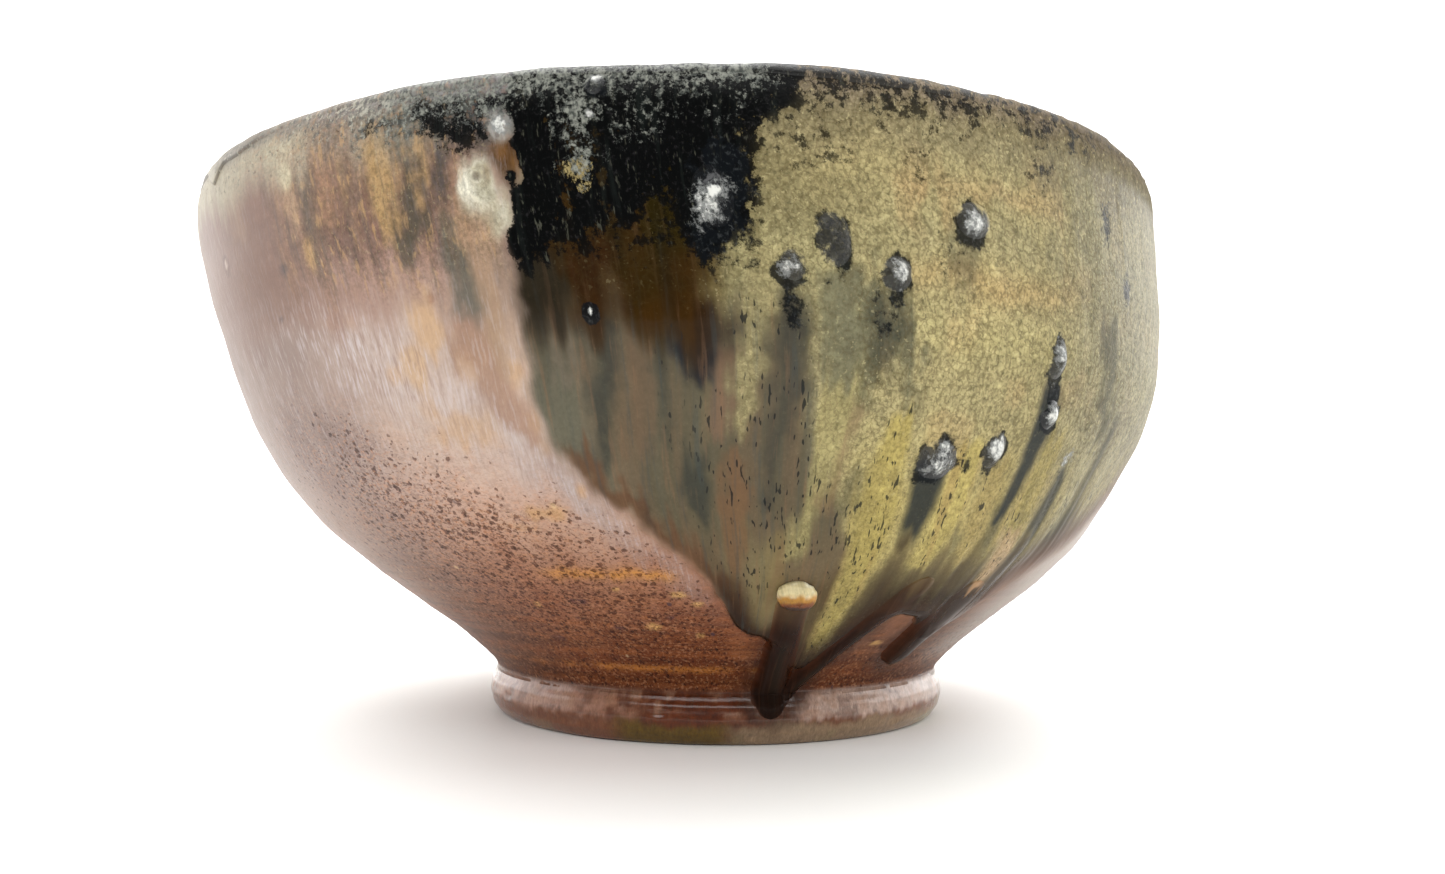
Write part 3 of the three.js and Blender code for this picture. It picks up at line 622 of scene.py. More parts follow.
    # and the mustard streams between them
    for path, a, c in (
        (((19.6, 33.5, 1.4), (19.3, 30.0, 2.0), (19.2, 27.0, 2.2), (18.9, 24.0, 2.0), (18.5, 20.5, 1.7), (18.1, 17.0, 1.3), (17.5, 14.0, 0.9), (17.0, 12.2, 0.5)), 0.95, colour(168, 152, 90)),
        (((28.4, 31.0, 1.5), (28.4, 28.0, 1.8), (28.0, 25.0, 1.8), (27.2, 22.6, 1.5), (26.6, 21.2, 1.2)), 0.95, colour(176, 160, 98)),
        (((32.8, 30.5, 1.2), (32.6, 27.5, 1.5), (32.7, 24.4, 1.2), (32.9, 21.6, 0.7)), 0.85, colour(166, 148, 96)),
        (((39.9, 33.0, 1.2), (40.0, 29.0, 1.6), (39.8, 25.6, 1.7), (39.7, 24.4, 1.4)), 0.85, MUSTARD),
        (((39.6, 23.6, 1.4), (39.9, 21.0, 1.4), (40.3, 18.4, 0.8)), 0.85, colour(196, 168, 130)),
        (((48.6, 31.5, 1.9), (49.2, 27.0, 1.2), (49.0, 24.5, 0.7)), 0.6, MUSTARD_PALE),
        (((56.0, 33.0, 2.0), (56.0, 27.5, 1.3)), 0.4, MUSTARD_PALE),
    ):
        k = a * st(path, 1.5, False)
        g = lay(g, c, k)
        g = lay(g, colour(150, 124, 80), 0.5 * k * smooth(0.1, 0.5, w2))
        g = lay(g, colour(128, 116, 74), 0.5 * k * smooth(0.0, 0.5, -w2 + 0.5 * b3))
        gm["rough"] = gm["rough"] * (1 - k) + 0.24 * k
        gm["dash"] = gm["dash"] * (1 - k) + 0.85 * k
        gm["net"] = gm["net"] * (1 - k) + 0.35 * k
        gm["mottle"] = gm["mottle"] * (1 - k) + 0.5 * k
        gm["streak"] *= 1 - k

    # olive-brown glass above the middle, then blue-black under the lip
    right = table([(43, 4.8), (46.6, 5.6), (50, 6.2), (53.3, 6.6), (56.7, 7.2), (59.3, 8.0), (62, 9.8), (64.2, 11.5)], z)
    inside = smooth(-16.5, -15.0, tn) * (1 - smooth(right - 4.5, right + 1.8, tr + 2.0 * b2))
    dark = inside * smooth(38.4, 44.6, zr + 2.6 * w1 + 1.6 * b2 + 1.0 * w3)
    g = lay(g, AMBER, 0.96 * dark)
    g = lay(g, colour(58, 35, 20), 0.7 * dark * smooth(-9.6, -7.6, tr) * (1 - smooth(-5.6, -3.8, tr)) * smooth(50, 46, zr))
    g = lay(g, colour(54, 41, 14), 0.7 * dark * smooth(-6.0, -4.0, tr) * (1 - smooth(-0.5, 1.5, tr)) * smooth(51, 46, zr))
    g = lay(g, AMBER_HI, 0.3 * dark * smooth(0.0, 0.45, w1 + 0.5 * b2) * smooth(52, 46, z))
    g = lay(g, OLIVE_DARK, 0.9 * dark * smooth(-3.4, -1.6, tr) * (1 - smooth(0.5, 2.0, tr)) * smooth(46, 50, z) * (1 - smooth(56, 59, zr)))
    g = lay(g, colour(46, 44, 40), 0.85 * dark * smooth(-8.5, -10.5, tr) * smooth(50, 47, z))
    for key in ("mottle", "net", "grain"):
        gm[key] *= 1 - 0.88 * dark
    g = lay(g, g * np.array((0.62, 0.54, 0.34)), 0.8 * dark)
    g = lay(g, colour(24, 21, 12), 0.6 * dark * smooth(0.0, 0.4, w1 - 0.4 * w3))
    gm["streak"] = gm["streak"] * (1 - dark) + 0.2 * dark
    gm["dash"] *= 1 - dark
    gm["rough"] = gm["rough"] * (1 - dark) + 0.09 * dark
    floor_z = table([(-13, 50.5), (-10, 48.0), (-7.5, 48.2), (-5.0, 48.8), (-3.0, 50.6), (-1.4, 52.0), (-0.4, 51.6), (0.6, 49), (1.6, 46.5), (5.0, 45.8), (8, 49)], th)
    deep = smooth(-13.6, -12.6, tn) * (1 - smooth(right - 6.0, right + 8.0, th + 1.6 * w2 + 4.0 * b2)) * smooth(floor_z - 4.5, floor_z + 4.5, z + 1.6 * w3)
    deep = deep * (1 - 0.42 * smooth(-0.05, 0.45, w1 + 0.5 * w2 - 0.2 * b2) * smooth(60.5, 56, zr))
    gm["black"] = np.maximum(gm["black"] * (1 - inside), deep)
    gm["black"] = np.maximum(gm["black"], 0.40 * dark * smooth(44.5, 49, z))
    gm["black"] = np.maximum(gm["black"], 0.9 * dark * smooth(45.5, 49.5, zr) * smooth(-8.4, -10, tr))
    # ash speckle over the black, thickest under the lip and in one trail
    top = smooth(56.5, 62.5, z + 1.4 * w1) * (1 - smooth(8, 14, tr))
    gm["veil"] += smooth(12, 9, th)
    gm["pale"] = np.maximum(gm["pale"], 0.49 * top + (0.13 + 0.08 * smooth(-7, -10, th)) * smooth(61.2, 63.2, z + 0.7 * w1) * (1 - smooth(9, 13, th)))
    gm["pale"] = np.maximum(gm["pale"], 0.50 * smooth(-8.0, -11.5, th) * smooth(58, 61, z + w1))
    cl = spot(-6.2, 59.4, 3.0, 4.8, 0.6, 0.5)
    gm["pale"] = np.maximum(gm["pale"], 0.63 * cl)
    gm["pale"] = np.maximum(gm["pale"], 0.56 * spot(-3.4, 62.8, 3.6, 1.6, 0.6, 0.4))
    gm["pale"] = np.maximum(gm["pale"], 0.47 * st(((-7.6, 61, 1.0), (-8.0, 57, 0.9), (-8.6, 54, 0.6)), 1.6))
    gm["pale"] = np.maximum(gm["pale"], 0.50 * spot(-1.6, 59.6, 4.6, 3.6, 0.7, 0.4))
    gm["pale"] = np.maximum(gm["pale"], 0.46 * spot(5.0, 60.6, 4.0, 2.6, 0.7, 0.4))
    gm["rough"] += 0.4 * smooth(59.5, 62.0, z) * (1 - mid)
    gm["gold"] = np.maximum(0.95 * spot(-7.2, 55.0, 2.6, 1.5, 0.7, 0.5), 0.6 * st(((-8.6, 56, 0.5), (-9.0, 50.5, 0.4)), 1.2))
    gm["gold"] = np.maximum(gm["gold"], 0.5 * spot(-1.4, 50.2, 1.6, 1.9, 0.6, 0.5))

    # the rough lip on the right
    band = smooth(60.5, 63.8, z + 0.8 * w1) * smooth(8, 13, th)
    g = lay(g, colour(122, 108, 96), 0.7 * band)
    gm["pale"] = np.maximum(gm["pale"], 0.36 * band)
    gm["grain"] += 0.8 * band

    # the thick chocolate edge
    low = smooth(-1, 4, th) * (1 - smooth(at(30), at(40), s))
    g = lay(g, colour(58, 40, 27), 0.9 * (1 - smooth(1.8, 4.8, d + 1.2 * w1)) * low)
    g = lay(g, colour(122, 96, 82), 0.8 * (1 - smooth(3.0, 9.0, d + 1.5 * w1)) * low * smooth(40, 50, th))
    edge = (1 - smooth(0.8, 2.4, d + 0.7 * w1)) * low * (1 - smooth(41, 48, th))
    blend = smooth(41, 48, th) * low
    coat = coat * (1 - blend) + blend * smooth(-0.3, 5.0, d + 1.0 * w1)
    gm["rough"] = np.maximum(gm["rough"], 0.42 * blend * (1 - smooth(4, 9, d)))
    g = lay(g, CHOC, edge)
    for key in ("mottle", "net", "dash", "grain", "black"):
        gm[key] *= 1 - edge
    gm["rough"] = gm["rough"] * (1 - edge) + 0.1 * edge
    thin = (1 - smooth(0.2, 1.3, d + 0.3 * b3)) * (1 - low)
    g = lay(g, colour(104, 88, 74), 0.6 * thin * smooth(48, 40, z))

    # the amber stain beside the crust
    stain = spot(-12.8, 56.4, 0.9, 1.6, 0.6, 0.7)
    base = lay(base, g, coat)
    for k in m:
        m[k] = m[k] * (1 - coat) + gm[k] * coat
    base = lay(base, colour(106, 74, 38), 0.9 * stain)
    for k in ("black", "pale", "ochre"):
        m[k] *= 1 - 0.8 * stain

    # ---- what stuck to the wall: dark halos and milky cores, the cores' bright middles partly painted highlight
    for t0, z0, rx, ry, a, soft in (
        (4.2, 53.0, 2.7, 4.3, 0.8, 0.5), (3.6, 49.5, 3.0, 3.6, 0.62, 0.7), (9.3, 46.3, 1.5, 2.0, 0.85, 0.5), (9.2, 43.6, 1.1, 1.9, 0.62, 0.6), (13.0, 49.3, 1.9, 2.6, 0.74, 0.6), (18.4, 46.5, 1.7, 1.8, 0.9, 0.35),
        (18.3, 44.6, 1.2, 1.2, 0.7, 0.5), (26.6, 51.9, 2.1, 2.1, 0.85, 0.45), (46.0, 55.0, 1.4, 2.4, 0.62, 0.7), (49.6, 49.2, 1.8, 3.0, 0.62, 0.7), (24.0, 48.6, 2.2, 2.4, 0.46, 0.8), (17.4, 43.0, 1.7, 2.6, 0.5, 0.8), (37.0, 40.2, 1.6, 2.5, 0.85, 0.35),
        (37.2, 37.6, 1.1, 1.6, 0.9, 0.35), (37.5, 35.2, 1.5, 1.7, 0.95, 0.35), (24.5, 30.8, 3.2, 2.6, 0.85, 0.4), (31.3, 31.7, 1.6, 2.4, 0.85, 0.35), (-4.8, 62.2, 1.3, 1.5, 0.6, 0.5),
        (-7.9, 43.0, 0.75, 0.85, 1.0, 0.3), (12.3, 45.8, 0.7, 0.6, 0.5, 0.5), (43.8, 30.0, 0.8, 1.2, 0.4, 0.6),
    ):
        q = oval(th, s, t0, z0, rx, ry) + 0.45 * b3 + 0.3 * w2
        # 0.5 lies on the outline; the shader breaks that line up.
        m["halo"] = np.maximum(m["halo"], a * (1 - smooth(1 - soft, 1 + soft, q)))
    for t0, z0, rx, ry, a in (
        (3.6, 53.0, 0.9, 0.9, 1.1), (3.2, 52.2, 2.5, 3.1, 0.72), (2.0, 50.6, 1.4, 1.4, 0.5), (9.3, 47.0, 1.4, 1.3, 0.70), (18.5, 47.0, 1.5, 1.4, 0.74), (26.7, 52.2, 1.6, 1.5, 0.72), (37.0, 40.8, 1.6, 2.3, 0.68), (37.0, 38.2, 0.8, 0.9, 0.5),
        (37.5, 35.7, 1.5, 1.3, 0.80), (24.6, 31.1, 2.9, 2.1, 0.70), (31.3, 32.2, 1.3, 1.8, 0.82), (-4.8, 62.9, 0.95, 0.9, 0.95), (-3.3, 64.0, 0.9, 0.8, 0.85),
        (-5.4, 59.8, 0.55, 0.6, 0.95), (-12.9, 59.4, 1.0, 1.1, 0.8), (-7.9, 43.2, 0.26, 0.4, 0.9), (43.8, 31.4, 1.1, 1.7, 0.66), 
        (10.2, 45.2, 0.4, 0.9, 0.5), (18.9, 45.4, 0.6, 0.6, 0.5),
    ):
        q = oval(th, s, t0, z0, rx, ry) + 0.5 * b3 + 0.3 * w2
        m["white"] = np.maximum(m["white"], a * (1 - smooth(0.2, 1.5, q)))
    k = 1 - smooth(0.6, 1.3, oval(th, s, 13.0, 49.4, 1.7, 2.4))
    m["pale"] = np.maximum(m["pale"], 0.5 * k)
    crust = spot(-15.4, 54.4, 2.6, 2.6, 0.45, 0.6)
    crust = np.maximum(crust, 0.85 * spot(-14.0, 51.8, 1.3, 2.0, 0.6, 0.6))
    base = lay(base, colour(178, 172, 148), 0.92 * crust)
    base = lay(base, colour(212, 208, 188), 0.75 * crust * smooth(-0.15, 0.35, b3 + 0.5 * w2))
    # painted highlight: a paler spot on the crust, left of its middle
    base = lay(base, colour(222, 218, 200), 0.7 * spot(-16.4, 54.4, 1.0, 1.3, 0.6, 0.4))
    m["mottle"] = np.maximum(m["mottle"] * (1 - crust), 0.5 * crust)
    for key in ("pale", "black", "ochre", "halo", "white", "streak"):
        m[key] *= 1 - crust
    m["rough"] = m["rough"] * (1 - crust) + 0.4 * crust
    m["grain"] = np.maximum(m["grain"], 1.5 * crust)
    q = oval(th, s, -15.4, 55.2, 0.85, 0.7) + 0.9 * b3 + 0.4 * w2
    base = lay(base, colour(124, 110, 80), 0.28 * np.exp(-((q - 1.0) / 0.45) ** 2))
    base = lay(base, colour(78, 60, 42), 0.65 * spot(-15.4, 55.1, 0.35, 0.3, 0.8, 0.5))
    stain = spot(-13.1, 56.6, 1.2, 2.4, 0.5, 0.45)
    base = lay(base, colour(104, 72, 36), 0.92 * stain)
    base = lay(base, colour(62, 44, 26), 0.7 * stain * smooth(0.0, 0.4, w2 + b3))
    for key in ("black", "pale", "ochre", "mottle", "halo"):
        m[key] *= 1 - 0.85 * stain
    k = spot(-13.0, 59.4, 1.3, 1.4, 0.5, 0.3)
    base = lay(base, colour(150, 150, 144), 0.8 * k)
    m["black"] *= 1 - k

    # painted sheen: the bare clay low round the right side is made paler
    base = lay(base, colour(206, 196, 186), 0.6 * smooth(42, 58, th) * (1 - smooth(86, 110, th)) * smooth(7, 10, z) * (1 - coat))
    # painted shade: dim darkens the outside towards its left and right sides and round the back; the left and the back
    # are also tinted a little warmer
    dim = 1 - 0.10 * smooth(-14, -22, th) * smooth(26, 34, z) - 0.32 * smooth(-25, -46, th) * (0.95 + 0.22 * smooth(26, 38, z)) - 0.34 * smooth(24, 48, th)
    dim = dim * (1 - back) + back * (1 - 0.10 * smooth(26, 34, z) - 0.32 * (0.95 + 0.22 * smooth(26, 38, z)))
    base = lay(base, base * np.array((1.03, 0.96, 0.9)), np.maximum(smooth(-26, -44, th), back))
    base = base * dim[..., None]
    # ---- the foot: rosy brown shoulder with painted sheen to the left and the right, olive and tan below
    ft = 1 - smooth(S_GROOVE - 0.25, S_GROOVE + 0.25, s)
    foot = np.zeros_like(base) + colour(112, 68, 46)
    # painted sheen: paler tan-pink on the shoulder round to the left
    foot = lay(foot, colour(158, 120, 102), smooth(-14, -38, th + 9 * b2 + 5 * b3) * smooth(2.2, 3.4, z + 0.9 * b3))
    foot = lay(foot, colour(88, 36, 6), smooth(-18, -12, th + 5 * b2) * (1 - smooth(2, 10, th + 5 * b2)) * 0.85)
    # painted sheen: paler still on the shoulder round to the right
    foot = lay(foot, colour(184, 160, 146), 0.85 * smooth(8, 26, th + 9 * b2 + 5 * b3) * smooth(2.4, 3.6, z + 0.9 * b3) * (1 - smooth(60, 90, th)))
    bf = W.nz(2.6, 131, 3, 0.5)
    foot = lay(foot, colour(72, 32, 16), 0.75 * smooth(0.02, 0.38, bf + 0.2 * b2) * (1 - 0.45 * smooth(14, 30, np.abs(th))))
    foot = lay(foot, colour(160, 122, 98), 0.5 * smooth(0.05, 0.4, -bf + 0.2 * b3) * smooth(2.6, 4.0, z))
    bevel = smooth(2.9, 1.7, z + 1.1 * b2 + 0.4 * b3)
    foot = lay(foot, colour(92, 70, 18), 0.95 * bevel * smooth(-26, -18, th) * (1 - smooth(0, 6, th)))
    foot = lay(foot, colour(140, 118, 92), 0.85 * bevel * smooth(0, 8, th))
    foot = lay(foot, colour(112, 70, 48), 0.7 * bevel * smooth(-18, -30, th))
    foot = lay(foot, colour(150, 136, 96), 0.5 * smooth(1.9, 1.1, z) * smooth(-0.1, 0.5, b2) * (0.4 + 0.6 * smooth(-2, 10, th)))
    base = lay(base, foot, ft)
    for k in m:
        m[k] = m[k] * (1 - ft)
    m["rough"] += 0.13 * ft
    m["grain"] += 0.35 * ft
    m["mottle"] += 0.45 * ft
    for path in (
        ((11.6, 15.0, 2.6), (12.0, 11.4, 3.0), (12.2, 8.6, 3.4), (12.2, 6.4, 3.8), (12.0, 4.8, 3.2), (11.8, 3.2, 1.6)),
        ((26.0, 15.0, 2.0), (24.2, 13.4, 2.8), (21.0, 10.2, 3.0), (17.8, 7.6, 3.0), (15.4, 6.0, 2.4)),
        ((39.4, 16.0, 3.2), (38.8, 12.6, 3.3), (38.3, 9.4, 2.9)),
    ):
        k = stroke(th + 0.8 * w2, s + 0.6 * b3, path, 2.6)
        base = lay(base, colour(52, 28, 17), 0.72 * k * (1 - coat))
        m["rough"] = m["rough"] * (1 - 0.4 * k)
        m["fleck"] = m["fleck"] * (1 - 0.7 * k)
    # painted highlight: the top of the lip, from just below its crest, is made paler; it fades out round to the far
    # left and is half as strong from the front round to the right
    line = smooth(S_CREST - 1.3, S_CREST - 0.5, s + 0.3 * w1) * smooth(-90, -60, th)
    base = lay(base, colour(168, 164, 156), 0.5 * line * (1 - 0.5 * smooth(-24, -14, th)))
    # painted shade: darker brown along the groove between the foot and the wall
    groove_shade = np.exp(-((s - S_GROOVE) / 0.5) ** 2)
    base = lay(base, colour(72, 38, 22), 0.55 * groove_shade)
    return base, m


# ------------------------------------------------------------------------------------------------------------------
# colour of the inside (not seen from outside): brown-olive liner with streaks from the lip and a glassy well
# ------------------------------------------------------------------------------------------------------------------
def paint_inside(th, s):
    th = (np.asarray(th, float) + 180) % 360 - 180
    down = s - S_CREST  # mm below the lip's crest
    w1, w2, w3 = streaks(th, s, 3.0, 30, 201, 2), streaks(th, s, 1.0, 16, 203, 2), streaks(th, s, 1.8, 50, 207, 3)
    big = fbm(flow_of(th, s)[..., 0] / 18, flow_of(th, s)[..., 1] / 18, s / 18, 213, 2)
    m = {k: np.zeros(np.shape(th)) for k in MASKS}
    khaki_side = smooth(-30, 30, th) * (1 - smooth(130, 170, th))
    base = np.zeros(np.shape(th) + (3,)) + colour(128, 108, 78)
    base = lay(base, colour(138, 126, 84), 0.7 * khaki_side)
    base = lay(base, colour(150, 118, 96), 0.6 * (1 - khaki_side) * smooth(26, 6, down + 6 * w3))
    base = lay(base, colour(92, 74, 52), smooth(18, 48, down + 7 * w3 + 4 * w1))
    base = lay(base, SLATE * 0.8, 0.45 * smooth(0.1, 0.55, w3 + 0.3 * w2) * smooth(6, 16, down) * (1 - smooth(48, 62, down)))
    base = lay(base, OLIVE, 0.45 * smooth(0.1, 0.5, -w3) * (1 - smooth(40, 60, down)))
    pool = smooth(62, 74, down + 2.5 * big + 1.5 * w2)
    base = lay(base, colour(74, 66, 42), pool)
    base = lay(base, colour(46, 52, 44), 0.6 * smooth(78, 96, down + 4 * big))
    m["streak"] += 0.75 * (1 - pool)
    m["dash"] += 0.4 * (1 - pool) * smooth(4, 14, down)
    m["mottle"] += 0.55 * smooth(30, 4, down) * (0.3 + 0.7 * khaki_side) + 0.2
    m["pale"] = np.maximum(m["pale"], 0.34 * smooth(20, 2, down + 5 * w1) * (1 - khaki_side))
    m["rough"] += 0.2 - 0.08 * pool + 0.1 * smooth(20, 2, down)
    m["grain"] += 0.5 * smooth(24, 4, down)
    for t0, d0, rx, ry in ((-70, 30, 1.4, 2.2), (60, 38, 1.2, 1.6), (150, 26, 1.8, 2.4), (105, 52, 1.3, 1.3), (-140, 44, 1.1, 1.8)):
        s0 = S_CREST + d0
        q = np.hypot(float(prof(s0)[0]) * np.radians((th - t0 + 180) % 360 - 180) / rx, (s - s0) / ry)
        m["white"] = np.maximum(m["white"], 0.5 * (1 - smooth(0.25, 1.45, q)))
        q = np.hypot(float(prof(s0)[0]) * np.radians((th - t0 + 180) % 360 - 180) / (rx * 1.6), (s - s0 - ry * 0.5) / (ry * 1.7))
        m["halo"] = np.maximum(m["halo"], 0.62 * (1 - smooth(0.5, 1.5, q)))
    return base, m


def paint(th, s):
    """Outside and inside colours, joined across the lip."""
    a, ma = paint_outside(th, np.minimum(s, S_CREST + 3.0))
    if float(np.max(s)) <= S_CREST:
        return a, ma
    b, mb = paint_inside(th, s)
    w2 = streaks(th, s, 1.2, 8, 301, 2)
    t = smooth(S_CREST - 0.5, S_CREST + 7.0, s + 2.0 * w2)
    return lay(a, b, t), {k: ma[k] * (1 - t) + mb[k] * t for k in ma}


# ------------------------------------------------------------------------------------------------------------------
# meshes
# ------------------------------------------------------------------------------------------------------------------
def make(name, points, faces, th, s, painted, smooth_shade=True):
    """An object from points in mm (local), faces, and the chart coordinates of each point."""
    pts = (points + FOOT) / 1000.0
    me = bpy.data.meshes.new(name)
    me.from_pydata(pts.tolist(), [], faces)
    me.update()
    base, m = painted
    f = flow_of(th, s)
    for key, arr in (
        ("flow", f),
        ("ma", np.stack([m["mottle"], m["pale"], m["gold"]], -1)),
        ("mb", np.stack([m["dash"], m["hair"], m["fleck"]], -1)),
        ("mc", np.stack([m["streak"], m["white"], m["halo"]], -1)),
        ("md", np.stack([m["rough"], m["ochre"], m["grain"]], -1)),
        ("me", np.stack([m["black"], m["veil"], m["net"]], -1)),
    ):
        at_ = me.attributes.new(key, "FLOAT_VECTOR", "POINT")
        at_.data.foreach_set("vector", np.ascontiguousarray(arr, np.float32).ravel())
    col = me.attributes.new("paint", "FLOAT_COLOR", "POINT")
    rgba = np.concatenate([base, np.ones(base.shape[:-1] + (1,))], -1)
    col.data.foreach_set("color", np.ascontiguousarray(rgba, np.float32).ravel())
    if smooth_shade:
        me.polygons.foreach_set("use_smooth", np.ones(len(me.polygons), bool))
    ob = bpy.data.objects.new(name, me)
    bpy.context.scene.collection.objects.link(ob)
    return ob


def sheet_faces(rows, cols, wrap_cols=False, wrap_rows=False, first=0, flip=False):
    """Quads of a grid of rows by cols points, numbered row by row."""
    r = np.arange(rows if wrap_rows else rows - 1)
    c = np.arange(cols if wrap_cols else cols - 1)
    R, C = np.meshgrid(r, c, indexing="ij")
    R2, C2 = (R + 1) % rows, (C + 1) % cols
    q = np.stack([R * cols + C, R * cols + C2, R2 * cols + C2, R2 * cols + C], -1).reshape(-1, 4) + first
    if flip:
        q = q[:, ::-1]
    return q.tolist()


def spread(parts):
    """Columns from (from, to, step) parts, joined."""
    out = []
    for a, b, step in parts:
        n = max(2, int(round(abs(b - a) / step)))
        out.append(np.linspace(a, b, n, endpoint=False))
    return np.concatenate(out)


def volume(points, faces):
    p = np.asarray(points)
    total = 0.0
    for f in faces:
        a = p[f[0]]
        for i in range(1, len(f) - 1):
            total += float(np.dot(a, np.cross(p[f[i]], p[f[i + 1]])))
    return total / 6


def outward(points, faces):
    """Turns every face over if the closed mesh is inside out. It reads a coarse sum, which is enough for a sign."""
    q = np.array([f[:3] for f in faces]), np.array([[f[0], f[2], f[-1]] for f in faces])
    p = np.asarray(points)
    total = 0.0
    for t in q:
        total += np.einsum("ij,ij->i", p[t[:, 0]], np.cross(p[t[:, 1]], p[t[:, 2]])).sum()
    return [f[::-1] for f in faces] if total < 0 else faces


def closed_turned(name, th, ring_points, painted_th, painted_s, caps=(True, True)):
    """ring_points is rows by cols by 3. caps says which end rows close onto a single point on the axis."""
    rows, cols = ring_points.shape[:2]
    pts = ring_points.reshape(-1, 3)
    faces = sheet_faces(rows, cols, wrap_cols=True)
    extra_p, extra_t, extra_s = [], [], []
    n = len(pts)
    for end, on in zip((0, rows - 1), caps):
        if not on:
            continue
        centre = ring_points[end].mean(0)
        extra_p.append(centre)
        extra_t.append(0.0)
        extra_s.append(float(painted_s[end, 0]))
        k = n + len(extra_p) - 1
        for c in range(cols):
            c2 = (c + 1) % cols
            faces.append([end * cols + c, k, end * cols + c2] if end == 0 else [end * cols + c, end * cols + c2, k])
    if extra_p:
        pts = np.concatenate([pts, np.array(extra_p)])
    tt = np.concatenate([painted_th.reshape(-1), np.array(extra_t)])
    ss = np.concatenate([painted_s.reshape(-1), np.array(extra_s)])
    return pts, outward(pts, faces), tt, ss


# ------------------------------------------------------------------------------------------------------------------
# materials
# ------------------------------------------------------------------------------------------------------------------
class Nodes:
    """Short names for building a node tree."""

    def __init__(self, tree):
        self.t = tree

    def new(self, kind, **inputs):
        n = self.t.nodes.new(kind)
        for k, v in inputs.items():
            self.put(n, k.replace("_", " "), v)
        return n

    def put(self, node, key, v):
        sock = node.inputs[key] if not isinstance(key, int) else node.inputs[key]
        if isinstance(v, bpy.types.NodeSocket):
            self.t.links.new(v, sock)
        else:
            sock.default_value = v

    def math(self, op, a, b=None, c=None, clamp=False):
        n = self.t.nodes.new("ShaderNodeMath")
        n.operation, n.use_clamp = op, clamp
        for i, v in enumerate((a, b, c)):
            if v is not None:
                self.put(n, i, v)
        return n.outputs[0]

    def ramp(self, x, lo, hi, smooth_=True):
        n = self.t.nodes.new("ShaderNodeMapRange")
        n.interpolation_type = "SMOOTHSTEP" if smooth_ else "LINEAR"
        n.clamp = True
        self.put(n, "Value", x)
        self.put(n, "From Min", lo)
        self.put(n, "From Max", hi)
        return n.outputs[0]

    def scale(self, v, xyz):
        n = self.t.nodes.new("ShaderNodeVectorMath")
        n.operation = "MULTIPLY"
        self.put(n, 0, v)
        n.inputs[1].default_value = xyz
        return n.outputs[0]

    def noise(self, v, scale, detail=2.0, rough=0.5, distortion=0.0):
        n = self.t.nodes.new("ShaderNodeTexNoise")
        n.noise_dimensions = "3D"
        self.put(n, "Vector", v)
        self.put(n, "Scale", scale)
        self.put(n, "Detail", detail)
        self.put(n, "Roughness", rough)
        self.put(n, "Distortion", distortion)
        return n.outputs["Fac"]

    def cells(self, v, scale, feature="F1", randomness=1.0):
        n = self.t.nodes.new("ShaderNodeTexVoronoi")
        n.feature = feature
        self.put(n, "Vector", v)
        self.put(n, "Scale", scale)
        self.put(n, "Randomness", randomness)
        return n

    def mix(self, a, b, f, mode="MIX"):
        n = self.t.nodes.new("ShaderNodeMix")
        n.data_type, n.blend_type = "RGBA", mode
        n.clamp_factor = True
        self.put(n, 0, f)
        for i, v in ((6, a), (7, b)):
            if isinstance(v, bpy.types.NodeSocket):
                self.t.links.new(v, n.inputs[i])
            else:
                n.inputs[i].default_value = (*[float(x) for x in v], 1.0)
        return n.outputs[2]

    def attr(self, name):
        n = self.t.nodes.new("ShaderNodeAttribute")
        n.attribute_type = "GEOMETRY"
        n.attribute_name = name
        return n

    def split(self, v):
        n = self.t.nodes.new("ShaderNodeSeparateXYZ")
        self.put(n, 0, v)
        return n.outputs


